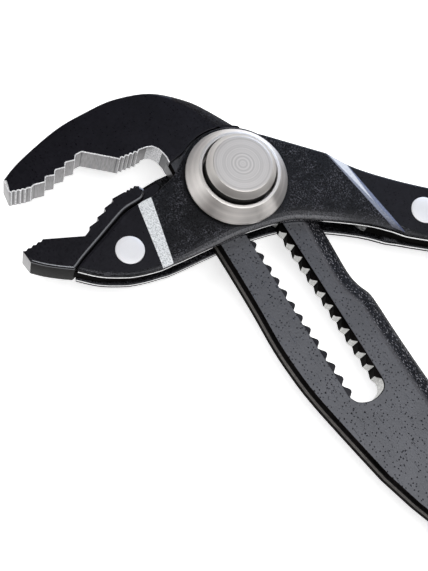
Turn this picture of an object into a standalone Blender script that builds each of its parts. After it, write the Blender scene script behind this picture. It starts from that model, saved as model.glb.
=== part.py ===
"""Water pump pliers with a push-button slot adjuster, lying flat with the button up.

X runs from the jaws to the handles, Z is the pivot axis and points out of the button face,
and the origin is where the pivot axis meets the resting face. Sizes below are millimetres.
"""

import math

import bmesh
import bpy
from mathutils import Vector

for old in list(bpy.data.objects):
    bpy.data.objects.remove(old, do_unlink=True)

MM = 0.001

# Layers of the joint, heights above the resting face
MID_PLANE = 10.0
LEVER_THICKNESS = 6.0
JAW_THICKNESS = 9.6
PLATE_THICKNESS = 2.4
PLATE_GAP = 6.6
JOGGLE_DEPTH = 0.9
INSERT_THICKNESS = 4.2

# Toothed slot of the lever, measured along the slot from the pivot
SLOT_ANGLE = math.radians(-26.8)
NOTCH_PITCH = 4.0
SLOT_HALF_WIDTH = 5.6
TOOTH_HEIGHT = 1.65
TOOTH_FLANK = 1.9
TOOTH_FLAT = 0.6
KEY_TIP_ROOM = 0.45
KEY_FOOT_ROOM = 0.4
SLOT_START = -7.2
SLOT_LAST_NOTCH = 64.0
SLOT_END_RUN = 2.0
RELIEF_DEPTH = 1.0
RELIEF_SHORTFALL = 8.0
RELIEF_SIDE = 0.05

# Button and pivot parts, turned about the pivot axis
PLATE_EDGE_RADIUS = 15.7
JAW_STEP_RADIUS = 16.3
COLLAR_RADIUS = 14.5
COLLAR_RIM = 1.0
COLLAR_HEIGHT = 5.45
COLLAR_FLOOR = 1.2
COLLAR_WALL = 1.3
COLLAR_SLEEVE_RADIUS = 11.3
BUTTON_RADIUS = 9.8
BUTTON_GAP = 0.6
BUTTON_FLAT_RADIUS = 8.2
BUTTON_CHAMFER = 1.5
BUTTON_STANDS_OUT = 3.8
BUTTON_SKIRT = 6.4
BUTTON_WALL = 0.9
BUTTON_CROWN = 2.6
NECK_RADIUS = 6.0
NECK_HALF_WIDTH = 3.2
NECK_CLEARANCE = 0.3
STUB_RADIUS = 3.5
STUB_DEPTH = 1.6
PISTON_RADIUS = 8.8
PISTON_THICKNESS = 2.3
PISTON_CLEARANCE = 0.3
WASHER_RADIUS = 9.9
WASHER_THICKNESS = 0.6
SPRING_RADIUS = 7.6
SPRING_WIRE_RADIUS = 0.5
SPRING_TURNS = 2.5
SPRING_POINTS_PER_TURN = 9
CAP_FLOOR = 1.1
CAP_CHAMFER = 1.5
SEAT_GAP = 0.05
LOOSE_GAP = 0.1

# Rivets; the handle's ones are given by their distance along the upper handle
RIVET_RADIUS = 4.0
RIVET_EDGE = 0.15
RIVET_CLEARANCE = 0.1
JAW_RIVET = (-12.7, -34.7)
HANDLE_RIVETS = (0.0, 30.0, 112.0)
CAP_RIVET_INSET = 2.6
CAP_RIVET_RADIUS = 1.2

# Handles: circular arcs from a start point, with a heading that turns along the length
UPPER_ARM = {"start": (49.8, 24.3), "headings": (20.7, 4.7), "length": 172.0}
LOWER_ARM = {"start": (76.0, -34.2), "headings": (-20.0, -2.0), "length": 160.0}
UPPER_GRIP = (50.0, 180.0)
LOWER_GRIP = (34.0, 168.0)
GRIP_HALF_HEIGHT = 10.0
TANG_END_HALF_WIDTH = 4.5
TANG_CLEARANCE = 0.3
WAIST_STEPS = 14

# Heights that follow from the layers
half_lever = LEVER_THICKNESS / 2
half_jaw = JAW_THICKNESS / 2
half_insert = INSERT_THICKNESS / 2
half_gap = PLATE_GAP / 2
plate_face = MID_PLANE + half_gap + PLATE_THICKNESS
rear_face = MID_PLANE - half_gap - PLATE_THICKNESS
collar_low = MID_PLANE + half_gap + LOOSE_GAP
collar_floor = collar_low + COLLAR_FLOOR
collar_top = plate_face + SEAT_GAP + COLLAR_HEIGHT
button_top = collar_top + BUTTON_STANDS_OUT
button_ceiling = button_top - BUTTON_CROWN
washer_low = collar_floor + LOOSE_GAP
washer_top = washer_low + WASHER_THICKNESS
through = (rear_face - 10, plate_face + 10)


parts = bpy.data.collections.new("water_pump_pliers")
cutters = bpy.data.collections.new("cutters")
for group in (parts, cutters):
    bpy.context.scene.collection.children.link(group)
cutters.hide_render = True


def material(name, colour, metallic, roughness):
    made = bpy.data.materials.new(name)
    made.use_nodes = True
    shader = made.node_tree.nodes["Principled BSDF"]
    shader.inputs["Base Color"].default_value = (*colour, 1.0)
    shader.inputs["Metallic"].default_value = metallic
    shader.inputs["Roughness"].default_value = roughness
    made.diffuse_color = (*colour, 1.0)
    return made


def place(obj, group):
    group.objects.link(obj)
    if group is cutters:
        obj.hide_render = True
        obj.display_type = "WIRE"
    return obj


def mesh_object(name, bm, group):
    bmesh.ops.recalc_face_normals(bm, faces=bm.faces)
    mesh = bpy.data.meshes.new(name)
    bm.to_mesh(mesh)
    bm.free()
    return place(bpy.data.objects.new(name, mesh), group)


def slab(name, outline, low, high, group=parts):
    """A flat outline in millimetres, raised from height low to height high."""
    bm = bmesh.new()
    floor = bm.faces.new([bm.verts.new((x * MM, y * MM, low * MM)) for x, y in outline])
    raised = bmesh.ops.extrude_face_region(bm, geom=[floor])["geom"]
    tops = [v for v in raised if isinstance(v, bmesh.types.BMVert)]
    bmesh.ops.translate(bm, verts=tops, vec=(0, 0, (high - low) * MM))
    return mesh_object(name, bm, group)


def turned(name, profile, group=parts, ring=False, steps=48, centre=(0.0, 0.0)):
    """A profile of (radius, height) points turned about Z, its outer side running down."""
    count = len(profile)
    edges = [(i, (i + 1) % count) for i in range(count if ring else count - 1)]
    mesh = bpy.data.meshes.new(name)
    mesh.from_pydata([(r * MM, 0, z * MM) for r, z in profile], edges, [])
    obj = place(bpy.data.objects.new(name, mesh), group)
    obj.location = (centre[0] * MM, centre[1] * MM, 0)
    screw = obj.modifiers.new("turn", "SCREW")
    screw.steps = screw.render_steps = steps
    screw.use_merge_vertices = True
    screw.merge_threshold = 1e-6
    return obj


def boolean(obj, other, operation):
    step = obj.modifiers.new(f"{operation.lower()} {other.name}", "BOOLEAN")
    step.operation = operation
    step.solver = "EXACT"
    step.object = other


def cut(obj, cutter):
    boolean(obj, cutter, "DIFFERENCE")


def join(obj, other):
    boolean(obj, other, "UNION")


def drill(obj, centre, radius, low, high, name):
    profile = [(0, high), (radius, high), (radius, low), (0, low)]
    cut(obj, turned(name, profile, cutters, steps=36, centre=centre))


def arc(radius, first, last, steps, centre=(0.0, 0.0)):
    """Points on a circle from angle first to angle last, in degrees."""
    turns = [math.radians(first + (last - first) * i / steps) for i in range(steps + 1)]
    return [(centre[0] + radius * math.cos(a), centre[1] + radius * math.sin(a)) for a in turns]


def smooth(points, per_span=3):
    """A curve through the points, with a few extra points on each span."""
    ends = [points[0], *points, points[-1]]
    curve = []
    for a, b, c, d in zip(ends, ends[1:], ends[2:], ends[3:]):
        for i in range(per_span):
            t = i / per_span
            weights = (
                -t * (1 - t) ** 2 / 2,
                (3 * t**3 - 5 * t**2 + 2) / 2,
                (-3 * t**3 + 4 * t**2 + t) / 2,
                t**2 * (t - 1) / 2,
            )
            four = (a, b, c, d)
            curve.append(tuple(sum(w * p[k] for w, p in zip(weights, four)) for k in (0, 1)))
    return [*curve, points[-1]]


def ridges(first, last, count, height):
    """A row of small V ridges on the line from first to last, standing off its left side."""
    line = Vector(last) - Vector(first)
    side = Vector((-line.y, line.x)).normalized() * height
    points = []
    for i in range(count):
        points.append(tuple(Vector(first) + line * (i / count)))
        points.append(tuple(Vector(first) + line * ((i + 0.5) / count) + side))
    return [*points, tuple(last)]


def from_slot(along, across):
    """A point given along and across the slot, in the part's own axes."""
    c, s = math.cos(SLOT_ANGLE), math.sin(SLOT_ANGLE)
    return (along * c - across * s, along * s + across * c)


def arm_point(arm, travel, offset=0.0):
    """A point at a distance along a handle's centre line, offset to its left side."""
    first, last = (math.radians(h) for h in arm["headings"])
    rate = (last - first) / arm["length"]
    heading = first + rate * travel
    x = arm["start"][0] + (math.sin(heading) - math.sin(first)) / rate
    y = arm["start"][1] - (math.cos(heading) - math.cos(first)) / rate
    return (x - offset * math.sin(heading), y + offset * math.cos(heading))


def arm_edge(arm, stations, side):
    """Points along one side of a handle, from (distance along, half width) stations."""
    return [arm_point(arm, travel, side * half) for travel, half in stations]


BLACK_PAINT = material("black paint", (0.05, 0.05, 0.058), 0.0, 0.42)
GREY_PAINT = material("dark grey paint", (0.11, 0.11, 0.12), 0.0, 0.48)
TURNED_STEEL = material("turned steel", (0.72, 0.70, 0.68), 1.0, 0.28)
RIVET_STEEL = material("ground rivet steel", (0.78, 0.78, 0.78), 1.0, 0.35)
HARDENED_STEEL = material("hardened steel", (0.45, 0.45, 0.47), 1.0, 0.35)
SPRING_STEEL = material("spring steel", (0.55, 0.56, 0.60), 1.0, 0.3)
HARD_PLASTIC = material("hard grip plastic", (0.035, 0.035, 0.037), 0.0, 0.5)
SOFT_RUBBER = material("soft grip rubber", (0.09, 0.09, 0.095), 0.0, 0.8)


# Slotted lever: upper jaw, toothed slot and lower handle in one forging
LOWER_TANG = [(16, 11.6), (30, 8.9), (45, 7.5), (70, 7.2), (100, 7.2), (130, 7.2), (156, 7.0)]
lever_top_edge = smooth([(-16.4, 13.9), (-7.2, 14.4), (0, 13.9), (14, 9.4), (27.8, 3.5)], 3)
lever_shoulder = [(40.1, -3.4), (44.8, -5.0), (48.2, -5.3), (51.2, -6.4), (67.9, -14.7)]
lower_tang_length = LOWER_ARM["length"]
tang_end = [arm_point(LOWER_ARM, lower_tang_length, side * TANG_END_HALF_WIDTH) for side in (1, -1)]
lever_low_edge = [(64.0, -44.6), (51.7, -41.1), (44.0, -38.5), (34.6, -34.4), (23.0, -28.2)]
lever_outline = [
    (-22, 9),
    *lever_top_edge,
    *lever_shoulder,
    (77.7, -19.3),
    *arm_edge(LOWER_ARM, LOWER_TANG, 1),
    *tang_end,
    *arm_edge(LOWER_ARM, LOWER_TANG, -1)[::-1],
    (77, -48.2),
    *lever_low_edge,
    (8.1, -20.3),
    (-14.7, -8.6),
    (-18.6, -6.3),
    (-21, -3),
]
slotted_lever = slab(
    "slotted_lever", lever_outline, MID_PLANE - half_lever, MID_PLANE + half_lever
)

# The jaw is thicker than the lever and steps down along an arc that clears the side plates.
upper_jaw_back = smooth(
    [(-51.2, -37.5), (-50.9, -30.4), (-48.3, -17.0), (-44.6, -7.7), (-40.5, 0.1)]
    + [(-33.4, 7.9), (-24.2, 12.6), (-16.4, 14.1), (-7.3, 14.6)],
    3,
)
upper_jaw_teeth = [
    *[(-19.4, -5.8), (-22.5, -5.1), (-24.3, -5.5), (-25.3, -6.5)],
    *ridges((-26.6, -8.5), (-30.1, -14.3), 4, 0.5),
    *[(-39.5, -18.4), (-39.8, -20.0), (-39.2, -21.3), (-40.7, -23.5), (-40.5, -24.8)],
    *[(-41.9, -26.9), (-41.2, -28.5), (-42.6, -30.5), (-42.3, -31.6), (-43.9, -34.0)],
    *ridges((-44.5, -35.5), (-48.1, -39.6), 4, 0.35),
]
upper_jaw_outline = [
    *upper_jaw_back,
    *arc(JAW_STEP_RADIUS, 119, 185.5, 12),
    (-17.7, -6.8),
    *upper_jaw_teeth,
]
upper_jaw = slab(
    "upper_jaw_block", upper_jaw_outline, MID_PLANE - half_jaw, MID_PLANE + half_jaw, cutters
)
join(slotted_lever, upper_jaw)

# Slot teeth: like flanks on both sides, with a small flat on the tip
tooth_tip = SLOT_HALF_WIDTH - TOOTH_HEIGHT
tooth_row = [(SLOT_START, SLOT_HALF_WIDTH - 0.7)]
for notch in range(int(SLOT_LAST_NOTCH / NOTCH_PITCH) + 2):
    root = (notch - 2) * NOTCH_PITCH
    tooth_row += [(root + TOOTH_FLANK, tooth_tip), (root + TOOTH_FLANK + TOOTH_FLAT, tooth_tip)]
    tooth_row.append((root + NOTCH_PITCH, SLOT_HALF_WIDTH))
slot_round = arc(SLOT_HALF_WIDTH, 90, -90, 14, (SLOT_LAST_NOTCH + SLOT_END_RUN, 0))
slot_outline = [*tooth_row, *slot_round, *[(u, -v) for u, v in tooth_row[::-1]]]
cut(
    slotted_lever,
    slab("slot_cutter", [from_slot(u, v) for u, v in slot_outline], *through, cutters),
)
relief_side = SLOT_HALF_WIDTH + RELIEF_SIDE
relief_round = SLOT_LAST_NOTCH - RELIEF_SHORTFALL - SLOT_HALF_WIDTH
relief_outline = [
    (SLOT_START, -relief_side),
    *arc(relief_side, -90, 90, 10, (relief_round, 0)),
    (SLOT_START, relief_side),
]
relief_floor = MID_PLANE + half_lever - RELIEF_DEPTH
relief_points = [from_slot(u, v) for u, v in relief_outline]
cut(slotted_lever, slab("relief_cutter", relief_points, relief_floor, through[1], cutters))


# Side plates: pressed sheets that close in on the jaw insert and on the handle core
UPPER_TANG = [(14, 7.5), (40, 7.2), (70, 7.0), (100, 7.0), (130, 7.0), (160, 7.0)]
upper_tang_length = UPPER_ARM["length"] - 1.0
upper_tang_end = [
    arm_point(UPPER_ARM, upper_tang_length, side * TANG_END_HALF_WIDTH) for side in (-1, 1)
]
plate_low_edge = smooth(
    [(-20.8, -47.4), (-15.4, -45.3), (-10.9, -42.5), (-6.8, -39.1), (-1.4, -32.4), (5.5, -20.6)]
    + [(10.0, -12.9), (18.1, -2.3), (25, 2.9), (38.3, 10.4), (49.3, 14.6)],
    2,
)
plate_outline = [
    *arc(PLATE_EDGE_RADIUS, 93.5, 201.5, 16),
    *[(-14.6, -10.5), (-16.1, -18.4), (-17.6, -20.9), (-19.3, -25.0), (-19.8, -28)],
    *[(-20.4, -36), (-21.0, -43.3), (-21.1, -46.8)],
    *plate_low_edge,
    *arm_edge(UPPER_ARM, UPPER_TANG, -1),
    *upper_tang_end,
    *arm_edge(UPPER_ARM, UPPER_TANG, 1)[::-1],
    *[(47.1, 30.4), (39.2, 27.2), (31.1, 24.4), (24.9, 22.8), (17.6, 21.7)],
]
JOGGLES = [
    {"low": ((-18.0, -22.5), (-2.6, -33.9)), "high": ((-16.7, -18.4), (-1.2, -31.3))},
    {"low": ((49.3, 14.5), (24.9, 22.8)), "high": ((45.2, 13.3), (17.6, 21.9))},
]


def beyond(line, point):
    """Signed distance of a point to the left of a line through two points."""
    start, along = Vector(line[0]), (Vector(line[1]) - Vector(line[0])).normalized()
    return along.cross(Vector(point) - start)


def sunk(point):
    """How far the sheet has stepped towards the mid plane at a point, from 0 to 1."""
    depth = 0.0
    for joggle in JOGGLES:
        past_high = -beyond(joggle["high"], point)
        past_low = -beyond(joggle["low"], point)
        if past_high > 0:
            depth = 1.0 if past_low >= 0 else past_high / (past_high - past_low)
    return depth


def side_plate(name, side):
    bm = bmesh.new()
    bm.faces.new([bm.verts.new((x * MM, y * MM, 0)) for x, y in plate_outline])
    for joggle in JOGGLES:
        for start, end in (joggle["low"], joggle["high"]):
            normal = (start[1] - end[1], end[0] - start[0], 0)
            everything = [*bm.verts, *bm.edges, *bm.faces]
            point = (start[0] * MM, start[1] * MM, 0)
            bmesh.ops.bisect_plane(bm, geom=everything, dist=1e-7, plane_co=point, plane_no=normal)
    for vert in bm.verts:
        inner = half_gap - JOGGLE_DEPTH * sunk((vert.co.x / MM, vert.co.y / MM))
        vert.co.z = (MID_PLANE + side * inner) * MM
    raised = bmesh.ops.extrude_face_region(bm, geom=list(bm.faces))["geom"]
    outer = [v for v in raised if isinstance(v, bmesh.types.BMVert)]
    bmesh.ops.translate(bm, verts=outer, vec=(0, 0, side * PLATE_THICKNESS * MM))
    return mesh_object(name, bm, parts)


front_plate = side_plate("front_plate", 1)
rear_plate = side_plate("rear_plate", -1)
drill(front_plate, (0, 0), COLLAR_SLEEVE_RADIUS + LOOSE_GAP, *through, "collar_bore")
drill(rear_plate, (0, 0), PISTON_RADIUS + PISTON_CLEARANCE, *through, "piston_bore")


# Lower jaw: a toothed block whose thinner tongue is riveted between the plates
lower_jaw_outline = [
    *[(-32.2, -52.6), (-35.6, -51.3)],
    *ridges((-35.6, -51.3), (-33.6, -45.6), 4, -0.45)[1:],
    *[(-24.7, -38.4), (-24.7, -36.4), (-25.2, -35.2), (-24.5, -32.8), (-24.9, -31.8)],
    *[(-24.4, -29.3), (-24.8, -28.5), (-24.0, -26.2), (-24.5, -25.0), (-23.0, -21.5)],
    *ridges((-22.9, -21.0), (-21.5, -18.0), 3, 0.3),
    *[(-20.8, -17.6), (-19.4, -17.5), (-18.6, -18.0), (-18.3, -20.9)],
    *[(-19.9, -25.0), (-20.4, -28), (-21.0, -36), (-21.6, -43.3), (-21.7, -47.3), (-22.6, -48.2)],
    *[(-25.1, -49.6), (-28.6, -51.3)],
]
lower_jaw = slab("lower_jaw", lower_jaw_outline, MID_PLANE - half_jaw, MID_PLANE + half_jaw)
tongue_outline = [
    *[(-23.0, -24), (-23.4, -42), (-22.3, -46.0)],
    *[(-15.5, -44.4), (-11.3, -41.7), (-7.4, -38.4), (-2.4, -32.0), (-1.0, -29.5)],
    *[(-14.2, -17.4), (-15.3, -16.8), (-17.2, -13.2), (-19.0, -13.4), (-20.2, -18.6)],
]
tongue = slab(
    "tongue_block", tongue_outline, MID_PLANE - half_insert, MID_PLANE + half_insert, cutters
)
join(lower_jaw, tongue)


# Handle core: the bar between the plates, ending in a stop beside the lever
core_outline = [
    *[(36.0, 11.0), (38.5, 11.4), (49.0, 15.2)],
    *arm_edge(UPPER_ARM, [(travel, half - 0.5) for travel, half in UPPER_TANG], -1),
    *[arm_point(UPPER_ARM, upper_tang_length - 1.0, side * 4.2) for side in (-1, 1)],
    *arm_edge(UPPER_ARM, [(travel, half - 0.5) for travel, half in UPPER_TANG], 1)[::-1],
    *[(46.9, 29.8), (31.3, 23.8), (26.0, 22.3), (25.0, 19.0)],
]
handle_core = slab(
    "handle_core", core_outline, MID_PLANE - half_insert, MID_PLANE + half_insert
)


# Rivets through the closed-in ends of the plates, ground flush
rivet_places = {"jaw_rivet": (JAW_RIVET, lower_jaw)}
for number, travel in enumerate(HANDLE_RIVETS, 1):
    rivet_places[f"handle_rivet_{number}"] = (arm_point(UPPER_ARM, travel), handle_core)
rivet_top = plate_face - JOGGLE_DEPTH
rivet_low = 2 * MID_PLANE - rivet_top
rivets = []
for name, (spot, insert) in rivet_places.items():
    for obj in (front_plate, insert, rear_plate):
        drill(obj, spot, RIVET_RADIUS + RIVET_CLEARANCE, *through, f"{name}_hole_{obj.name}")
    inner = RIVET_RADIUS - RIVET_EDGE
    profile = [(0, rivet_top), (inner, rivet_top), (RIVET_RADIUS, rivet_top - RIVET_EDGE)]
    profile += [(RIVET_RADIUS, rivet_low + RIVET_EDGE), (inner, rivet_low), (0, rivet_low)]
    rivets.append(turned(name, profile, steps=36, centre=spot))


# Collar: conical bezel with a sleeve in the front plate and a floor under the spring
button_bore = BUTTON_RADIUS + BUTTON_GAP
neck_bore = NECK_RADIUS + NECK_CLEARANCE
collar_seat = plate_face + SEAT_GAP
button_collar = turned(
    "button_collar",
    [
        *[(button_bore, collar_top - 0.1), (button_bore + 0.2, collar_top)],
        *[(button_bore + COLLAR_WALL - 0.4, collar_top), (button_bore + COLLAR_WALL, collar_top - 0.4)],
        *[(COLLAR_RADIUS, collar_seat + COLLAR_RIM), (COLLAR_RADIUS, collar_seat)],
        *[(COLLAR_SLEEVE_RADIUS, collar_seat), (COLLAR_SLEEVE_RADIUS, collar_low)],
        *[(neck_bore, collar_low), (neck_bore, collar_floor), (button_bore, collar_floor)],
    ],
    ring=True,
)


# Rear cap: closes the piston bore and gives the tool its resting face
piston_bore = PISTON_RADIUS + PISTON_CLEARANCE
cap_seat = rear_face - SEAT_GAP
cap_edge = COLLAR_RADIUS - CAP_CHAMFER
rear_cap = turned(
    "rear_cap",
    [
        *[(0, CAP_FLOOR), (piston_bore, CAP_FLOOR), (piston_bore, cap_seat)],
        *[(COLLAR_RADIUS, cap_seat), (COLLAR_RADIUS, 3.2), (cap_edge, 0.4), (cap_edge - 0.4, 0)],
        (0, 0),
    ],
)
cap_rivet_circle = COLLAR_RADIUS - CAP_RIVET_INSET
cap_rivet_top = MID_PLANE - half_gap - LOOSE_GAP
cap_rivets = []
for number in range(3):
    angle = math.radians(90 + 120 * number)
    spot = (cap_rivet_circle * math.cos(angle), cap_rivet_circle * math.sin(angle))
    for obj in (rear_cap, rear_plate):
        radius = CAP_RIVET_RADIUS + RIVET_CLEARANCE
        drill(obj, spot, radius, *through, f"cap_rivet_{number}_{obj.name}")
    profile = [(0, cap_rivet_top), (CAP_RIVET_RADIUS, cap_rivet_top)]
    profile += [(CAP_RIVET_RADIUS, LOOSE_GAP), (0, LOOSE_GAP)]
    cap_rivets.append(turned(f"cap_rivet_{number + 1}", profile, steps=24, centre=spot))


def flatted(radius, half_width):
    """A circle with two flats along the slot."""
    angle = math.degrees(math.asin(half_width / radius))
    points = [*arc(radius, -angle, angle, 6), *arc(radius, 180 - angle, 180 + angle, 6)]
    return [from_slot(u, v) for u, v in points]


# Keyed washer: turns with the plunger and carries the spring
washer_outer = arc(WASHER_RADIUS, 0, 352.5, 47)
keyed_washer = slab("keyed_washer", washer_outer, washer_low, washer_top)
washer_hole = flatted(NECK_RADIUS + NECK_CLEARANCE, NECK_HALF_WIDTH + NECK_CLEARANCE)
cut(keyed_washer, slab("washer_key_cutter", washer_hole, *through, cutters))


# Plunger: round piston, toothed key and flatted neck; pressing drops the key out of the slot
piston_top = MID_PLANE - half_lever - PISTON_CLEARANCE
piston_low = piston_top - PISTON_THICKNESS
key_top = MID_PLANE - 0.4
locking_plunger = turned(
    "locking_plunger",
    [
        *[(0, piston_top), (PISTON_RADIUS, piston_top), (PISTON_RADIUS, piston_low + 0.3)],
        *[(PISTON_RADIUS - 0.3, piston_low), (0, piston_low)],
    ],
)
key_tip, key_foot = SLOT_HALF_WIDTH - KEY_TIP_ROOM, tooth_tip - KEY_FOOT_ROOM
key_row = []
for notch in (-1, 0, 1):
    root = notch * NOTCH_PITCH
    key_row += [(root - 1.6, key_foot), (root - 0.15, key_tip), (root + 0.15, key_tip)]
    key_row.append((root + 1.6, key_foot))
key_outline = [*key_row, *[(u, -v) for u, v in key_row[::-1]]]
key_points = [from_slot(u, v) for u, v in key_outline]
join(locking_plunger, slab("key_block", key_points, piston_top - 1.2, key_top, cutters))
neck_points = flatted(NECK_RADIUS, NECK_HALF_WIDTH)
neck_top = button_ceiling - LOOSE_GAP
join(locking_plunger, slab("neck_block", neck_points, piston_top - 1.7, neck_top, cutters))
stub_top = neck_top + STUB_DEPTH
stub_profile = [(0, stub_top), (STUB_RADIUS - 0.2, stub_top), (STUB_RADIUS, stub_top - 0.2)]
stub_profile += [(STUB_RADIUS, neck_top - 2.3), (0, neck_top - 2.3)]
join(locking_plunger, turned("stub_block", stub_profile, cutters, steps=32))


# Push button: a cap over the plunger with a skirt round the spring
chamfer_low = button_top - BUTTON_CHAMFER
skirt_low = button_top - BUTTON_SKIRT
skirt_bore = BUTTON_RADIUS - BUTTON_WALL
stub_bore = STUB_RADIUS + LOOSE_GAP
push_button = turned(
    "push_button",
    [
        *[(0, button_top), (BUTTON_FLAT_RADIUS, button_top), (BUTTON_RADIUS - 0.3, chamfer_low)],
        *[(BUTTON_RADIUS, chamfer_low - 0.4), (BUTTON_RADIUS, skirt_low), (skirt_bore, skirt_low)],
        *[(skirt_bore, button_ceiling), (stub_bore, button_ceiling)],
        *[(stub_bore, stub_top + LOOSE_GAP), (0, stub_top + LOOSE_GAP)],
    ],
)


# Return spring: one unbroken helical wire between the washer and the button
def spring_points():
    low = washer_top + SPRING_WIRE_RADIUS + LOOSE_GAP
    high = button_ceiling - SPRING_WIRE_RADIUS - SEAT_GAP
    steps = round(SPRING_TURNS * SPRING_POINTS_PER_TURN)
    points = []
    for i in range(steps + 1):
        angle = 2 * math.pi * SPRING_TURNS * i / steps
        height = low + (high - low) * i / steps
        points.append((SPRING_RADIUS * math.cos(angle), SPRING_RADIUS * math.sin(angle), height))
    return points


wire = spring_points()
curve = bpy.data.curves.new("return_spring", "CURVE")
curve.dimensions = "3D"
curve.bevel_depth = SPRING_WIRE_RADIUS * MM
curve.bevel_resolution = 1
curve.use_fill_caps = True
spline = curve.splines.new("POLY")
spline.points.add(len(wire) - 1)
for point, (x, y, z) in zip(spline.points, wire):
    point.co = (x * MM, y * MM, z * MM, 1)
guide = bpy.data.objects.new("spring_guide", curve)
cutters.objects.link(guide)
bpy.context.view_layer.update()
spring_mesh = bpy.data.meshes.new_from_object(
    guide.evaluated_get(bpy.context.evaluated_depsgraph_get())
)
bpy.data.objects.remove(guide)
spring_bm = bmesh.new()
spring_bm.from_mesh(spring_mesh)
bmesh.ops.remove_doubles(spring_bm, verts=spring_bm.verts, dist=1e-6)
return_spring = mesh_object("return_spring", spring_bm, parts)
self_gap = min(
    math.dist(a, b) - 2 * SPRING_WIRE_RADIUS
    for i, a in enumerate(wire)
    for b in wire[i + SPRING_POINTS_PER_TURN - 2 :]
)
print(f"return_spring: least gap between curls {self_gap:.2f} mm")


# Grips: a hard core on each tang, with a flange, a waist and a heel, and a soft sleeve on the waist
def section(arm, travel, half_width, half_height, count=20):
    """A ring of points round a handle: a rounded box standing across the centre line."""
    ring = []
    for i in range(count):
        angle = 2 * math.pi * i / count
        c, s = math.cos(angle), math.sin(angle)
        across = half_width * math.copysign(abs(c) ** 0.6, c)
        x, y = arm_point(arm, travel, across)
        ring.append((x, y, MID_PLANE + half_height * math.copysign(abs(s) ** 0.6, s)))
    return ring


def bridge(bm, rings, closed):
    """Rings of points joined into a skin; the ends are capped unless the skin closes on itself."""
    loops = [[bm.verts.new(Vector(p) * MM) for p in ring] for ring in rings]
    pairs = list(zip(loops, loops[1:]))
    if closed:
        pairs.append((loops[-1], loops[0]))
    for one, two in pairs:
        for i, vert in enumerate(one):
            j = (i + 1) % len(one)
            bm.faces.new((vert, one[j], two[j], two[i]))
    if not closed:
        bm.faces.new(loops[0])
        bm.faces.new(loops[-1])


def grip_core(name, arm, first, last, tang_outline, tang_half):
    length = last - first
    flange = [(0, 11.5, 7.6), (1.2, 13.6, 9.2), (4.5, 15.6, 10.0), (8, 15.2, 10.0), (11, 13.2, 9.8)]
    waist = [(11.3, 11.0, 7.8)]
    waist += [(11.6 + (length - 28.2) * i / WAIST_STEPS, 11.0, 7.8) for i in range(WAIST_STEPS + 1)]
    waist.append((length - 16.3, 11.0, 7.8))
    heel = [(length - 16, 13.4, 9.8), (length - 9, 14.2, 10.0), (length - 4, 13.2, 9.4)]
    heel += [(length - 1.2, 10.5, 7.4), (length, 7.5, 5.0)]
    bm = bmesh.new()
    stations = [*flange, *waist, *heel]
    bridge(bm, [section(arm, first + d, w, h) for d, w, h in stations], closed=False)
    core = mesh_object(name, bm, parts)
    low, high = MID_PLANE - tang_half - TANG_CLEARANCE, MID_PLANE + tang_half + TANG_CLEARANCE
    cut(core, slab(f"{name}_tang", tang_outline, low, high, cutters))
    return core


def grip_sleeve(name, arm, first, last):
    start, end = first + 11.6, last - 16.6
    outer, inner = [], []
    for i in range(WAIST_STEPS + 1):
        t = i / WAIST_STEPS
        swell = 13.2 + 1.2 * math.sin(math.pi * t)
        travel = start + (end - start) * t
        outer.append(section(arm, travel, swell, GRIP_HALF_HEIGHT - 0.2))
        inner.append(section(arm, travel, 11.3, 8.1))
    bm = bmesh.new()
    bridge(bm, [*outer, *inner[::-1]], closed=True)
    return mesh_object(name, bm, parts)


def tang_pocket(arm, stations, end):
    """The tang outline with a little room round it, reaching out of the grip's mouth."""
    roomy = [(travel, half + TANG_CLEARANCE) for travel, half in stations]
    tip_half = TANG_END_HALF_WIDTH + TANG_CLEARANCE
    tip = [arm_point(arm, end, side * tip_half) for side in (1, -1)]
    return [*arm_edge(arm, roomy, 1), *tip, *arm_edge(arm, roomy, -1)[::-1]]


upper_pocket = tang_pocket(UPPER_ARM, UPPER_TANG, upper_tang_length + 0.5)
lower_pocket = tang_pocket(LOWER_ARM, LOWER_TANG, lower_tang_length + 0.5)
upper_half = half_gap - JOGGLE_DEPTH + PLATE_THICKNESS
upper_grip_core = grip_core("upper_grip_core", UPPER_ARM, *UPPER_GRIP, upper_pocket, upper_half)
lower_grip_core = grip_core("lower_grip_core", LOWER_ARM, *LOWER_GRIP, lower_pocket, half_lever)
upper_grip_sleeve = grip_sleeve("upper_grip_sleeve", UPPER_ARM, *UPPER_GRIP)
lower_grip_sleeve = grip_sleeve("lower_grip_sleeve", LOWER_ARM, *LOWER_GRIP)


# Finishes
finishes = {
    BLACK_PAINT: [front_plate, rear_plate, lower_jaw, handle_core],
    GREY_PAINT: [slotted_lever],
    TURNED_STEEL: [button_collar, push_button, rear_cap],
    RIVET_STEEL: [*rivets, *cap_rivets],
    HARDENED_STEEL: [locking_plunger, keyed_washer],
    SPRING_STEEL: [return_spring],
    HARD_PLASTIC: [upper_grip_core, lower_grip_core],
    SOFT_RUBBER: [upper_grip_sleeve, lower_grip_sleeve],
}
for finish, objects in finishes.items():
    for obj in objects:
        obj.data.materials.append(finish)
for obj in (return_spring, upper_grip_core, lower_grip_core, upper_grip_sleeve, lower_grip_sleeve):
    obj.data.shade_smooth()
    obj.data.set_sharp_from_angle(angle=math.radians(40))
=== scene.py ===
"""Looks of the water pump pliers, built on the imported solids.

Lengths below are millimetres in the part's own frame, and become metres as a mesh is made:
X runs from the jaws to the handles, and Z is the pivot axis, out of the button.
"""

import math

import bmesh
import bpy
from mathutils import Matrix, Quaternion, Vector


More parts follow.
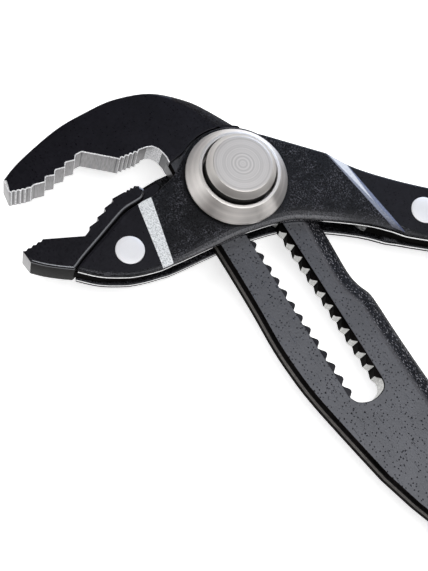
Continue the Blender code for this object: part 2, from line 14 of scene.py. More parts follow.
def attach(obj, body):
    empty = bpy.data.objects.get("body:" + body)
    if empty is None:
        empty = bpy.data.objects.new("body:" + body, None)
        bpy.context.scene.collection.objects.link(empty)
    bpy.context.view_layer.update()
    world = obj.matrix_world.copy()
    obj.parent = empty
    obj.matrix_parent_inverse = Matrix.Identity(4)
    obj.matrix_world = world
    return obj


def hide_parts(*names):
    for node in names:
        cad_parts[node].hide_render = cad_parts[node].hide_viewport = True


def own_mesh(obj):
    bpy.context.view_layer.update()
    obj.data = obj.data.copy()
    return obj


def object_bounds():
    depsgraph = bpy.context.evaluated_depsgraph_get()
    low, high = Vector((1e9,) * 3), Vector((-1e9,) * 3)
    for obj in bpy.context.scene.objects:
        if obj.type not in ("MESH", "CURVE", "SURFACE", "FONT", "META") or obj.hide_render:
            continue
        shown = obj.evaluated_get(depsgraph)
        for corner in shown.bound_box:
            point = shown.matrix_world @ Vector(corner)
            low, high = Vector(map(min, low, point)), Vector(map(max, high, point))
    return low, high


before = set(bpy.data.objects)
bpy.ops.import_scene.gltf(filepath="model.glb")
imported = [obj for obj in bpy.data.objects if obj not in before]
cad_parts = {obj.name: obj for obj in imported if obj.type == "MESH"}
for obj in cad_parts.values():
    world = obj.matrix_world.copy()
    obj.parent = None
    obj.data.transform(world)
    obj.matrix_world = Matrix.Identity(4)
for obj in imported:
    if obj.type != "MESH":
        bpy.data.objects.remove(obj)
cad_low, cad_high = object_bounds()
MM = 0.001


# The studio: a white table in a small tent whose walls run from bright to dark, under a large soft
# box and a fill. Two more boxes show only in what shines.
# The camera stands over the jaws' side of the tool and is turned a little about its axis.
CAMERA_PLACE = (18.33, -138.27, 289.5)
CAMERA_AIM = (11.32, -30.64, 15.7)
CAMERA_ROLL = math.radians(29.3)
LENS = 69.35

camera = bpy.data.objects.new("camera", bpy.data.cameras.new("camera"))
camera.data.lens = LENS
camera.data.clip_start = 0.01
camera.location = Vector(CAMERA_PLACE) * MM
sight = Vector(CAMERA_AIM) - Vector(CAMERA_PLACE)
camera.rotation_mode = "QUATERNION"
camera.rotation_quaternion = sight.to_track_quat("-Z", "Y") @ Quaternion((0, 0, 1), CAMERA_ROLL)
bpy.context.scene.collection.objects.link(camera)
bpy.context.scene.camera = camera
bpy.context.scene.view_settings.view_transform = "Standard"


def fill(tree, made, sockets):
    """Sets a node's sockets, each to a plain value or to a link from another node's output."""
    for key, value in sockets.items():
        if isinstance(value, bpy.types.NodeSocket):
            tree.links.new(value, made.inputs[key])
        else:
            made.inputs[key].default_value = value


def node(tree, kind, sockets=None, **settings):
    """A new shader node with these settings and sockets."""
    made = tree.nodes.new(kind)
    for key, value in settings.items():
        setattr(made, key, value)
    fill(tree, made, sockets or {})
    return made


def calc(tree, operation, *values):
    """The result of a math node."""
    return node(tree, "ShaderNodeMath", dict(enumerate(values)), operation=operation).outputs[0]


def rise(tree, value, low, high, top=1.0):
    """0 where a value is at low, growing to the top where it is at high, and level past both."""
    sockets = {"Value": value, "From Min": low, "From Max": high, "To Max": top}
    return node(tree, "ShaderNodeMapRange", sockets).outputs[0]


def parts_of(tree, vector):
    """The X, Y and Z of a vector."""
    return node(tree, "ShaderNodeSeparateXYZ", {"Vector": vector}).outputs


def ramp(tree, factor, stops):
    """A colour ramp read at factor, with (position, grey or colour) stops."""
    made = node(tree, "ShaderNodeValToRGB", {"Fac": factor})
    elements = made.color_ramp.elements
    while len(elements) < len(stops):
        elements.new(1.0)
    for element, (position, shade) in zip(elements, stops):
        element.position = position
        colour = shade if isinstance(shade, tuple) else (shade, shade, shade)
        element.color = (*colour, 1.0)
    return made.outputs["Color"]


world = bpy.data.worlds.new("studio")
bpy.context.scene.world = world
world.use_nodes = True
sky = world.node_tree
sky_way = node(sky, "ShaderNodeTexCoord").outputs["Generated"]
sky_part = parts_of(sky, sky_way)
SKY = [(0.0, 0.9), (0.25, 0.8), (0.5, 0.22), (0.75, 0.06), (1.0, 0.04)]
AROUND = [(0.0, 0.9), (0.085, 2.1), (0.15, 1.4), (0.2, (0.2, 0.17, 0.16)), (0.24, (0.03, 0.02, 0.02))]
AROUND += [(0.31, (0.16, 0.14, 0.13)), (0.4, 0.55), (0.52, 0.65), (0.65, 1.0)]
AROUND += [(0.9, (1.0, 1.0, 1.05)), (1.0, 0.9)]
turn = rise(sky, calc(sky, "ARCTAN2", sky_part["Y"], sky_part["X"]), -math.pi, math.pi)
sky_shades = {0: ramp(sky, sky_part["Z"], SKY), 1: ramp(sky, turn, AROUND)}
sky_colour = node(sky, "ShaderNodeVectorMath", sky_shades, operation="MULTIPLY").outputs[0]
sky.links.new(sky_colour, sky.nodes["Background"].inputs["Color"])

table_mesh = bpy.data.meshes.new("table")
TABLE_REACH = 3.0
corners = [(-1, -1), (1, -1), (1, 1), (-1, 1)]
table_points = [(x * TABLE_REACH, y * TABLE_REACH, cad_low.z) for x, y in corners]
table_mesh.from_pydata(table_points, [], [(0, 1, 2, 3)])
table = bpy.data.objects.new("table", table_mesh)
bpy.context.scene.collection.objects.link(table)
TABLE_WHITE = (0.86, 0.86, 0.86, 1.0)
TABLE_GLOW = 0.7
table_paint = bpy.data.materials.new("white table")
table_paint.use_nodes = True
tree = table_paint.node_tree
tree.nodes.clear()
ray = node(tree, "ShaderNodeLightPath").outputs
seen = calc(tree, "MAXIMUM", ray["Is Camera Ray"], ray["Is Glossy Ray"])
seen = calc(tree, "MAXIMUM", seen, ray["Is Transmission Ray"])
lit = node(tree, "ShaderNodeBsdfDiffuse", {"Color": TABLE_WHITE})
shown = node(tree, "ShaderNodeEmission", {"Strength": calc(tree, "MULTIPLY", seen, TABLE_GLOW)})
both = node(tree, "ShaderNodeAddShader", {0: lit.outputs[0], 1: shown.outputs[0]})
node(tree, "ShaderNodeOutputMaterial", {"Surface": both.outputs[0]})
table_mesh.materials.append(table_paint)


def soft_box(name, place, aim, size, watts, colour=(1.0, 1.0, 1.0), in_reflections=True, lights=True):
    """A soft light of a (width, height) at a place, turned to its aim."""
    light = bpy.data.lights.new(name, "AREA")
    light.shape = "RECTANGLE"
    light.size, light.size_y = (side * MM for side in size)
    light.energy = watts
    light.color = colour
    lamp = bpy.data.objects.new(name, light)
    lamp.location = Vector(place) * MM
    way = Vector(aim) - Vector(place)
    lamp.rotation_mode = "QUATERNION"
    lamp.rotation_quaternion = way.to_track_quat("-Z", "Y")
    lamp.visible_glossy = in_reflections
    lamp.visible_diffuse = lights
    bpy.context.scene.collection.objects.link(lamp)


soft_box("top_box", (300, 10, 700), (300, 10, 0), (680, 680), 3.2)
soft_box("over_strip", (40, -190, 700), (20, -10, 10), (700, 200), 1.9, lights=False)
soft_box("window", (-30, 930, 413), (38, 17, 15), (560, 560), 7.0, (0.68, 0.79, 1.0), lights=False)
soft_box("fill_box", (-550, 150, 700), (0, 0, 0), (700, 700), 4.4, in_reflections=False)


# The slotted lever: one steel forging with the upper jaw, a bar with a toothed slot and the
# lower handle's tang. It is painted all over, and then the jaw's teeth are ground bare
# and the slot's teeth are broached bare.
LEVER_LOW, LEVER_HIGH = 7.0, 13.0
JAW_HEIGHTS = (5.2, 14.8)
SLOT_ANGLE = math.radians(-26.8)
SLOT_START, LAST_ROOT = -7.2, 68.0
SLOT_HALF = 5.4
NOTCH_PITCH = 4.0
LEDGE_HALF = 5.6
LEDGE_DEEP, LEDGE_SHALLOW = 1.0, 0.15
LEDGE_FADES = (44.0, 60.0)
JAW_STEP_RADIUS = 16.3
TANG_TIP_HALF = 4.5
LOWER_ARM = {"start": (76.0, -34.2), "headings": (-20.0, -2.0), "length": 160.0}
LOWER_TANG = [(16, 11.6), (30, 8.9), (45, 7.5), (70, 7.2), (100, 7.2), (130, 7.2), (156, 7.0)]


def curve_through(points, per_span=5):
    """A smooth curve through the points, with a few steps on each span."""
    ends = [points[0], *points, points[-1]]
    curve = []
    for a, b, c, d in zip(ends, ends[1:], ends[2:], ends[3:]):
        for i in range(per_span):
            t = i / per_span
            weights = (
                -t * (1 - t) ** 2 / 2,
                (3 * t**3 - 5 * t**2 + 2) / 2,
                (-3 * t**3 + 4 * t**2 + t) / 2,
                t**2 * (t - 1) / 2,
            )
            four = (a, b, c, d)
            curve.append(tuple(sum(w * p[k] for w, p in zip(weights, four)) for k in (0, 1)))
    return [*curve, tuple(points[-1])]


def arc(radius, first, last, steps, centre=(0.0, 0.0)):
    """Points on a circle from angle first to angle last, in degrees."""
    turns = [math.radians(first + (last - first) * i / steps) for i in range(steps + 1)]
    return [(centre[0] + radius * math.cos(a), centre[1] + radius * math.sin(a)) for a in turns]


def circle(radius, steps, centre=(0.0, 0.0)):
    """Points all round a circle."""
    return arc(radius, 0, 360 - 360 / steps, steps - 1, centre)


def share_along(value, first, last):
    """0 up to the first figure, 1 from the last one on, and even between them."""
    return min(1.0, max(0.0, (value - first) / (last - first)))


def blend(one, two, share):
    """A pair of sizes at a share of the way from one to two."""
    return tuple(a + (b - a) * share for a, b in zip(one, two))


def ridges(first, last, count, height):
    """A row of small V ridges on the line from first to last, standing off its left side."""
    line = Vector(last) - Vector(first)
    side = Vector((-line.y, line.x)).normalized() * height
    points = []
    for i in range(count):
        points.append(tuple(Vector(first) + line * (i / count)))
        points.append(tuple(Vector(first) + line * ((i + 0.5) / count) + side))
    return [*points, tuple(last)]


def arm_point(arm, travel, offset=0.0):
    """A point at a distance along a handle's centre line, offset to its left side."""
    first, last = (math.radians(h) for h in arm["headings"])
    rate = (last - first) / arm["length"]
    heading = first + rate * travel
    x = arm["start"][0] + (math.sin(heading) - math.sin(first)) / rate
    y = arm["start"][1] - (math.cos(heading) - math.cos(first)) / rate
    return (x - offset * math.sin(heading), y + offset * math.cos(heading))


def from_slot(along, across):
    """A point given along and across the slot, in the part's own axes."""
    c, s = math.cos(SLOT_ANGLE), math.sin(SLOT_ANGLE)
    return (along * c - across * s, along * s + across * c)


def inset(outline, distances):
    """A counter-clockwise outline with each point moved inwards by its own distance."""
    moved = []
    for i, point in enumerate(outline):
        before = (Vector(point) - Vector(outline[i - 1])).normalized()
        after = (Vector(outline[(i + 1) % len(outline)]) - Vector(point)).normalized()
        inward = Vector((-before.y - after.y, before.x + after.x))
        lean = max(0.55, inward.length / 2)
        moved.append(tuple(Vector(point) + inward.normalized() * (distances[i] / lean)))
    return moved


def loop_of(bm, points, heights):
    """New mesh points in a row, each at its own height."""
    return [bm.verts.new((x * MM, y * MM, z * MM)) for (x, y), z in zip(points, heights)]


def band(bm, one, two, finish=0):
    """A strip of faces between two loops of as many points; finish may differ along it."""
    for i, vert in enumerate(one):
        j = (i + 1) % len(one)
        face = bm.faces.new((vert, one[j], two[j], two[i]))
        face.material_index = finish[i] if isinstance(finish, list) else finish


def flat(bm, loops, finish=0):
    """A flat face that fills a loop, with any further loops as holes."""
    edges = [bm.edges.get((a, b)) for loop in loops for a, b in zip(loop, loop[1:] + loop[:1])]
    filled = bmesh.ops.triangle_fill(bm, use_beauty=True, edges=edges)["geom"]
    for face in filled:
        if isinstance(face, bmesh.types.BMFace):
            face.material_index = finish


ROLL_STEPS, STEEP_STEPS = 4, 3
RIM_WIDTH, RIM_SHARE = 0.1, 0.08


def edge_rings(bm, outline, face_height, way, widths, depths):
    """Loops that roll from a wall over an edge to a face, and a level rim inside them.

    The way is 1 for an upper face, else -1.
    """
    rings = []
    for k in range(ROLL_STEPS + 1):
        turn = math.pi / 2 * k / ROLL_STEPS
        points = inset(outline, [w * (1 - math.cos(turn)) for w in widths])
        rings.append(loop_of(bm, points, [face_height - way * d * (1 - math.sin(turn)) for d in depths]))
    points = inset(outline, [w + RIM_WIDTH + RIM_SHARE * w for w in widths])
    rings.append(loop_of(bm, points, [face_height] * len(points)))
    return rings


def rolled_walls(bm, outline, low, high, low_roll, high_roll, wall=0, corner=0, edge=0, seam=None):
    """The walls and rolled edges of a slab; returns the loops that bound its two flat faces.

    A roll is one (width, depth) for the whole outline, or a list with one for each point.
    Its steep part, next to the wall, has the corner's finish, and the rest has the edge's.
    A seam is (low share, high share, finish) for a stripe along the wall.
    """
    count = len(outline)
    low_roll, high_roll = (r if isinstance(r, list) else [r] * count for r in (low_roll, high_roll))
    lower = edge_rings(bm, outline, low, -1, *zip(*low_roll))
    upper = edge_rings(bm, outline, high, 1, *zip(*high_roll))
    walls = [lower[0], upper[0]]
    finishes = [wall]
    if seam:
        for share in seam[:2]:
            walls.insert(-1, [bm.verts.new(a.co.lerp(b.co, share)) for a, b in zip(lower[0], upper[0])])
        finishes = [wall, seam[2], wall]
    for one, two, finish in zip(walls, walls[1:], finishes):
        band(bm, one, two, finish)
    for rings in (lower, upper):
        for k, (one, two) in enumerate(zip(rings, rings[1:])):
            band(bm, one, two, corner if k < STEEP_STEPS else edge)
    return lower[-1], upper[-1]


HOLE_BREAK, RIVET_HOLE = 0.1, 4.06


def hole(bm, centre, radius, low, high, steps=64):
    """The wall of a round hole, its edges broken a little; returns its low and high loops."""
    bore, wide = (circle(radius + out, steps, centre) for out in (0.0, HOLE_BREAK))
    rows = [(wide, low), (bore, low + HOLE_BREAK), (bore, high - HOLE_BREAK), (wide, high)]
    loops = [loop_of(bm, points, [height] * steps) for points, height in rows]
    for one, two in zip(loops, loops[1:]):
        band(bm, one, two)
    return loops[0], loops[-1]


def slab(outline, heights, roll, wall=0, edge=0, face=0, rivets=()):
    """The mesh of a flat piece between two heights, with rolled edges and a hole for each rivet."""
    bm = bmesh.new()
    low_loop, high_loop = rolled_walls(bm, outline, *heights, roll, roll, wall, edge, edge)
    rims = [hole(bm, centre, RIVET_HOLE, *heights) for centre in rivets]
    flat(bm, [low_loop, *[low for low, high in rims]], face)
    flat(bm, [high_loop, *[high for low, high in rims]], face)
    return bm


def piece_of(name, bm, finishes, sharp=32):
    """A named object from a bmesh, smooth but for edges sharper than the given degrees."""
    bmesh.ops.recalc_face_normals(bm, faces=bm.faces)
    mesh = bpy.data.meshes.new(name)
    bm.to_mesh(mesh)
    bm.free()
    mesh.shade_smooth()
    mesh.set_sharp_from_angle(angle=math.radians(sharp))
    for finish in finishes:
        mesh.materials.append(finish)
    obj = bpy.data.objects.new(name, mesh)
    bpy.context.scene.collection.objects.link(obj)
    return obj


def fused(obj, other, sharp=32, operation="UNION"):
    """obj becomes one skin with other, or loses other's shape; other is removed."""
    step = obj.modifiers.new("fuse", "BOOLEAN")
    step.operation = operation
    step.solver = "EXACT"
    step.object = other
    bpy.context.view_layer.update()
    mesh = bpy.data.meshes.new_from_object(obj.evaluated_get(bpy.context.evaluated_depsgraph_get()))
    obj.modifiers.clear()
    obj.data = mesh
    mesh.name = obj.name
    mesh.set_sharp_from_angle(angle=math.radians(sharp))
    bpy.data.objects.remove(other)


def new_finish(name):
    """A named material, its node tree and the object's own coordinates."""
    finish = bpy.data.materials.new(name)
    finish.use_nodes = True
    tree = finish.node_tree
    coordinates = node(tree, "ShaderNodeTexCoord").outputs["Object"]
    return finish, tree, coordinates


def coated(finish, colour, rough, normal, more=None):
    """A finish with its shader's sockets set."""
    sockets = {"Base Color": colour, "Roughness": rough, "Normal": normal, **(more or {})}
    fill(finish.node_tree, finish.node_tree.nodes["Principled BSDF"], sockets)
    return finish


def noise(tree, where, size, detail=2.0, stretch=None, turn=0.0):
    """Soft noise with features of about the given size in millimetres, from 0 to 1.

    It may be drawn out by a (x, y, z) stretch, along axes turned about Z.
    """
    if stretch:
        sockets = {"Vector": where, "Rotation": (0, 0, turn), "Scale": stretch}
        where = node(tree, "ShaderNodeMapping", sockets, vector_type="TEXTURE").outputs[0]
    sockets = {"Vector": where, "Scale": 1 / (size * MM), "Detail": detail}
    return node(tree, "ShaderNodeTexNoise", sockets).outputs["Fac"]


# A mix node's own numbers for its colour sockets
MIX_FACTOR, MIX_ONE, MIX_TWO, MIX_RESULT = 0, 6, 7, 2


def mixed(tree, factor, one, two):
    """A colour between one and two."""
    first, second = ((*shade, 1.0) if isinstance(shade, tuple) else shade for shade in (one, two))
    sockets = {MIX_FACTOR: factor, MIX_ONE: first, MIX_TWO: second}
    return node(tree, "ShaderNodeMix", sockets, data_type="RGBA").outputs[MIX_RESULT]


def dimmed(colour, share):
    """A share of a colour."""
    return tuple(share * c for c in colour)


def bump(tree, height, depth, under=None):
    """A bump of the given depth in millimetres, over any bump beneath it."""
    sockets = {"Height": height, "Distance": depth * MM, "Strength": 1.0}
    if under:
        sockets["Normal"] = under
    return node(tree, "ShaderNodeBump", sockets).outputs["Normal"]


def pits(tree, where, spacing, size, missing):
    """1 in small ragged pits of a face, 0 elsewhere; a share of the places have none."""
    ragged = node(tree, "ShaderNodeTexNoise", {"Vector": where, "Scale": 1 / (0.5 * MM)}).outputs["Color"]
    stray = {0: ragged, 1: (0.3 * MM, 0.3 * MM, 0), 2: where}
    bent = node(tree, "ShaderNodeVectorMath", stray, operation="MULTIPLY_ADD").outputs[0]
    sockets = {"Vector": bent, "Scale": 1 / (spacing * MM)}
    cell = node(tree, "ShaderNodeTexVoronoi", sockets, voronoi_dimensions="2D")
    pick = node(tree, "ShaderNodeSeparateColor", {"Color": cell.outputs["Color"]}).outputs["Red"]
    reach = rise(tree, pick, missing, missing + 0.4, size / spacing / 2)
    return rise(tree, calc(tree, "SUBTRACT", reach, cell.outputs["Distance"]), 0.0, 0.05)


def highest(tree, *values):
    """The highest of several values."""
    top = values[0]
    for value in values[1:]:
        top = calc(tree, "MAXIMUM", top, value)
    return top


PAINT_TINT = (0.9, 0.92, 1.0, 1.0)
PITCH_BLACK = (0.001, 0.001, 0.001)


def enamel(name, dark, light, roughness, gloss, peel, pit_size, painted_level_light=None):
    """Sprayed paint on steel: orange peel of a (size, depth), slow changes of shade, and small pits.

    A painted level light is the colour of a round edge where it meets the level face. Past it the
    edge takes painted shade as it falls away, and painted glints as light specks.
    """
    finish, tree, where = new_finish(name)
    slow = noise(tree, where, 9.0, 3.0)
    grain = noise(tree, where, 0.5, 3.0)
    shade = calc(tree, "MULTIPLY", slow, grain)
    paint = mixed(tree, ramp(tree, shade, [(0.1, 0.0), (0.4, 1.0)]), dark, light)
    if painted_level_light:
        # Painted light on round edges: lit where level, painted shade as the slope grows, painted glints on
        # it
        upright = parts_of(tree, node(tree, "ShaderNodeNewGeometry").outputs["Normal"])["Z"]
        drawn = noise(tree, where, 0.33, 1.0, (2, 1, 1), SLOT_ANGLE)
        specks = ramp(tree, drawn, [(0.6, 0.0), (0.68, 1.0)])
        paint = mixed(tree, ramp(tree, upright, [(0.99, 0.0), (0.9998, 1.0)]), paint, painted_level_light)
        glints_on_slope = ramp(tree, upright, [(0.993, 1.0), (0.9998, 0.0)])
        specks = calc(tree, "MULTIPLY", specks, glints_on_slope)
        paint = mixed(tree, specks, paint, dimmed(painted_level_light, 2.5))
    rolling = bump(tree, noise(tree, where, peel[0], 3.0), peel[1])
    rough = ramp(tree, grain, [(0.3, roughness - 0.05), (0.7, roughness + 0.05)])
    if pit_size:
        small, large = pits(tree, where, 1.05, pit_size, 0.3), pits(tree, where, 2.9, 1.5 * pit_size, 0.5)
        drawn = noise(tree, where, 0.35, 2.0, (16, 1, 1), SLOT_ANGLE)
        scratch = ramp(tree, drawn, [(0.68, 0.0), (0.76, 0.5)])
        hole = highest(tree, small, large, scratch)
        paint = mixed(tree, hole, paint, PITCH_BLACK)
        rough = highest(tree, rough, hole)
        rolling = bump(tree, calc(tree, "SUBTRACT", 1.0, hole), 0.15, rolling)
    return coated(finish, paint, rough, rolling, {"Specular IOR Level": gloss, "Specular Tint": PAINT_TINT})


def ground_steel(name, colour, roughness, grain, stretch, metallic=1.0):
    """Bare steel with fine grinding lines along one way and faint stains."""
    finish, tree, where = new_finish(name)
    lines = noise(tree, where, grain, 4.0, stretch)
    stains = noise(tree, where, 3.5, 4.0)
    shade = mixed(tree, ramp(tree, lines, [(0.35, 0.0), (0.65, 1.0)]), dimmed(colour, 0.62), colour)
    dirt = ramp(tree, stains, [(0.55, 0.0), (0.8, 0.35)])
    shade = mixed(tree, dirt, shade, dimmed(colour, 0.5))
    rough = ramp(tree, lines, [(0.3, roughness - 0.06), (0.7, roughness + 0.08)])
    return coated(finish, shade, rough, bump(tree, lines, 0.02), {"Metallic": metallic})


lever_shades = (0.006, 0.006, 0.007), (0.034, 0.034, 0.039)
lever_enamel = enamel("lever enamel", *lever_shades, 0.35, 0.95, (0.6, 0.05), 0.42)
jaw_shades = (0.002, 0.0015, 0.003), (0.005, 0.0042, 0.007)
jaw_enamel = enamel("jaw enamel", *jaw_shades, 0.32, 0.26, (1.1, 0.02), 0)
dull_shades = PITCH_BLACK, (0.008, 0.007, 0.007)
dull_enamel = enamel("black wall paint", *dull_shades, 0.6, 0.005, (0.9, 0.03), 0)
# These two enamels paint shade down a round edge, and glints on it
peel_shades = (0.002, 0.002, 0.003), (0.01, 0.01, 0.012)
peel_enamel = enamel("orange peel enamel", *peel_shades, 0.3, 0.1, (0.55, 0.4), 0, (0.1, 0.1, 0.11))
back_shades = PITCH_BLACK, (0.016, 0.012, 0.01)
back_enamel = enamel("jaw back enamel", *back_shades, 0.4, 0.08, (0.6, 0.3), 0, (0.006, 0.005, 0.006))
# The seam band is a painted reflection of the table: a brown-grey stripe along the lever's dark wall
seam_reflection_shades = (0.08, 0.074, 0.07), (0.22, 0.21, 0.2)
seam_reflection_paint = enamel("wall band with painted reflection", *seam_reflection_shades, 0.6, 0.005, (0.8, 0.05), 0)
# Three shades of one ground steel: grey for the teeth, darker as painted shade, brighter as a painted
# highlight
tooth_steel = ground_steel("ground jaw teeth", (0.29, 0.285, 0.29), 0.34, 0.22, (1, 1, 12))
shade_steel = ground_steel("ground steel with painted shade", (0.13, 0.13, 0.135), 0.34, 0.22, (1, 1, 12))
highlit_tooth_steel = ground_steel("tooth edges with painted highlight", (0.9, 0.9, 0.92), 0.3, 0.3, (1, 1, 1), 0.5)
slot_steel = ground_steel("broached slot teeth", (0.74, 0.74, 0.72), 0.4, 0.3, (1, 1, 6), 0.6)
LEVER_FINISHES = [lever_enamel, jaw_enamel, tooth_steel, slot_steel]
LEVER_FINISHES += [dull_enamel, peel_enamel, highlit_tooth_steel, shade_steel, seam_reflection_paint, back_enamel]
GREY, BLACK, TOOTH, NOTCH, DULL, PEEL, EDGE, SHADE, SEAM, BACK = range(len(LEVER_FINISHES))

# The jaw is thicker than the bar, and steps down along an arc that clears the side plates.
jaw_back = curve_through(
    [(-51.3, -37.5), (-51.1, -30.4), (-48.6, -17.0), (-45.0, -7.6), (-40.9, 0.4)]
    + [(-33.7, 8.3), (-24.4, 12.75), (-16.4, 14.15), (-7.3, 14.6)],
)
jaw_step = [*arc(JAW_STEP_RADIUS, 119, 185.5, 20), (-17.7, -6.8)]
jaw_corners = [
    *[(-19.4, -5.8), (-21.0, -5.3), (-22.5, -5.1), (-24.3, -5.5), (-25.3, -6.5)],
    *ridges((-26.6, -8.5), (-30.1, -14.3), 5, 0.65),
    *[(-39.0, -18.3), (-39.8, -20.0), (-39.05, -21.45), (-40.75, -23.5), (-40.0, -24.85)],
    *[(-41.7, -26.95), (-40.95, -28.35), (-42.7, -30.15), (-41.85, -31.5), (-43.85, -33.95), (-44.0, -35.1)],
    *ridges((-44.8, -35.8), (-48.15, -39.55), 4, 0.42),
]
THROAT_POINTS = 5
CORNER_BREAK = 0.16


def broken(points, size):
    """Points with each inner corner cut off by a short flat."""
    cut = [points[0]]
    for before, corner, after in zip(points, points[1:], points[2:]):
        for side in (before, after):
            way = Vector(side) - Vector(corner)
            cut.append(tuple(Vector(corner) + way.normalized() * min(size, 0.3 * way.length)))
    return [*cut, points[-1]]


jaw_teeth = [*jaw_corners[:THROAT_POINTS], *broken(jaw_corners[THROAT_POINTS:], CORNER_BREAK)]
jaw_outline = [*jaw_back, *jaw_step, *jaw_teeth][::-1]


def tooth_finish(i):
    """A jaw tooth wall's finish: painted highlight on a broken tip, painted shade in a root, else grey."""
    before, one, two, after = (Vector(jaw_outline[i + k]) for k in (-1, 0, 1, 2))
    if (two - one).length > 2.5 * CORNER_BREAK:
        return TOOTH
    return EDGE if (one - before).cross(after - two) > 0 else SHADE


# Tips, tooth edges and most of the throat take the painted highlight; roots and the throat's far wall
# painted shade
jaw_walls = [BLACK] * len(jaw_outline)
jaw_edges = [BLACK] * len(jaw_outline)
for i in range(len(jaw_teeth)):
    from_throat = len(jaw_teeth) - i
    jaw_walls[i] = tooth_finish(i)
    if from_throat <= THROAT_POINTS:
        jaw_walls[i] = SHADE if from_throat < 3 else EDGE
    jaw_edges[i] = EDGE
jaw_walls[-1] = TOOTH
jaw_edges[-1] = EDGE
jaw_roll = [(0.2, 0.2)] * len(jaw_outline)
# The jaw's back rounds softly; that round takes the jaw back enamel, with painted shade and glints
SOFT_BACK = (-34.0, -14.0)
BACK_ROLLS = (0.6, 0.5), (3.4, 1.5)
for i in range(len(jaw_teeth) + len(jaw_step) + 1, len(jaw_outline)):
    share = share_along(jaw_outline[i][0], *SOFT_BACK)
    jaw_roll[i] = blend(*BACK_ROLLS, share)
    jaw_edges[i - 1] = BACK if share > 0.2 else BLACK
bm = slab(jaw_outline, JAW_HEIGHTS, jaw_roll, jaw_walls, jaw_edges, BLACK)
upper_jaw = piece_of("upper_jaw_blank", bm, LEVER_FINISHES)
RELIEF_RADIUS, RELIEF_HEIGHTS, RELIEF_STEPS = 27.0, (4.2, 6.95), 120
bm = bmesh.new()
relief_circle = circle(RELIEF_RADIUS, RELIEF_STEPS)
relief_loops = [loop_of(bm, relief_circle, [height] * RELIEF_STEPS) for height in RELIEF_HEIGHTS]
band(bm, *relief_loops, BLACK)
for loop in relief_loops:
    flat(bm, [loop], BLACK)
fused(upper_jaw, piece_of("jaw_relief", bm, LEVER_FINISHES), operation="DIFFERENCE")

# The bar's handle-side edge is forged to a wide soft round; its other edge is nearly square.
bar_top = curve_through(
    [(-16.4, 13.9), (-7.2, 14.4), (0, 13.9), (14, 9.5), (27.9, 3.7), (40.2, -3.2), (44.9, -4.8)]
    + [(48.3, -5.1), (51.3, -6.2), (59.4, -10.3), (68.0, -14.5), (77.8, -19.1)],
    4,
)
tang_top = curve_through([arm_point(LOWER_ARM, t, half) for t, half in LOWER_TANG], 2)
tang_low = curve_through([arm_point(LOWER_ARM, t, -half) for t, half in LOWER_TANG][::-1], 2)
tang_tip = [arm_point(LOWER_ARM, LOWER_ARM["length"], side * TANG_TIP_HALF) for side in (1, -1)]
bar_low = curve_through(
    [(77, -48.6), (64.0, -45.0), (51.7, -41.4), (44.0, -38.6), (34.6, -34.3), (23.0, -27.8)]
    + [(8.1, -20.0), (-14.7, -8.6)],
    4,
)
bar_outline = [(-22, 9), *bar_top, *tang_top, *tang_tip, *tang_low, *bar_low, (-18.6, -6.3), (-21, -3)]
SOFT_TOP = (0.0, 30.0)
TOP_ROLLS, LOW_ROLL = ((0.5, 0.5), (5.4, 3.0)), (0.7, 0.6)
REAR_ROLL_LIMIT = 1.2
bar_roll, bar_edges = [], []
for i, (x, y) in enumerate(bar_outline):
    share = share_along(x, *SOFT_TOP)
    top_side = 1 <= i <= len(bar_top) + len(tang_top)
    bar_roll.append(blend(*TOP_ROLLS, share) if top_side else LOW_ROLL)
    # The wide round takes the orange peel enamel, with painted shade and painted glints
    bar_edges.append(PEEL if top_side and share > 0 else DULL)
bar_outline.reverse()
bar_roll.reverse()
bar_edges = bar_edges[-2::-1] + bar_edges[-1:]
low_side_roll = [(min(w, REAR_ROLL_LIMIT), min(d, REAR_ROLL_LIMIT)) for w, d in bar_roll]
bm = bmesh.new()
# The throat's first two walls take the dark tooth steel as painted shade; elsewhere the seam band is a
# painted reflection
bar_walls = [SHADE if i < 2 else DULL for i in range(len(bar_outline))]
BAR_SEAM = (0.4, 0.82, [SHADE if i < 2 else SEAM for i in range(len(bar_outline))])
bar_finishes = bar_walls, bar_edges, bar_edges, BAR_SEAM
bar_low_loop, bar_high_loop = rolled_walls(
    bm, bar_outline, LEVER_LOW, LEVER_HIGH, low_side_roll, bar_roll, *bar_finishes
)

# Slot teeth: rounded noses below a straight ledge in the front face
SLOT_NOSE = [
    *[(0.0, 5.4), (0.3, 5.3), (0.8, 4.95), (1.4, 4.42), (1.9, 4.06), (2.35, 3.95), (2.7, 4.05)],
    *[(3.05, 4.35), (3.4, 4.8), (3.75, 5.25)],
]
REAR_SHARE = 0.45
side_row = [(SLOT_START, 4.7)]
for notch in range(-2, 17):
    nose = [(notch * NOTCH_PITCH + u, v) for u, v in SLOT_NOSE]
    side_row += [(u, v) for u, v in nose if u > SLOT_START + 0.3]
slot_tail = curve_through(
    [(68.0, 5.3), (69.4, 5.0), (70.6, 3.9), (71.4, 1.6)]
    + [(71.5, -0.6), (70.9, -2.6), (69.8, -4.3), (68.0, -5.3)],
    3,
)
slot_loop = [*side_row, *slot_tail, *[(u, -v) for u, v in side_row[::-1]]]


def ledge_point(u, v):
    """The point of the ledge's edge that faces a point of the slot's edge."""
    if u >= LAST_ROOT:
        out = LEDGE_HALF / SLOT_HALF
        return (LAST_ROOT + (u - LAST_ROOT) * out, v * out)
    return (u - 0.45 if u <= SLOT_START else u, math.copysign(LEDGE_HALF, v))


def ledge_drop(u):
    """How far the ledge lies below the lever's face; it runs out towards the handle."""
    t = share_along(u, *LEDGE_FADES)
    return LEDGE_DEEP + (LEDGE_SHALLOW - LEDGE_DEEP) * t * t * (3 - 2 * t)


slot_loop.reverse()
ledge_loop = [ledge_point(u, v) for u, v in slot_loop]
ledge_heights = [LEVER_HIGH - ledge_drop(u) for u, v in slot_loop]
count = len(slot_loop)


def slot_ring(loop, out, heights):
    """A loop in the slot's own axes, moved out into the metal, set into the bar."""
    return loop_of(bm, [from_slot(u, v) for u, v in inset(loop, [-out] * count)], heights)


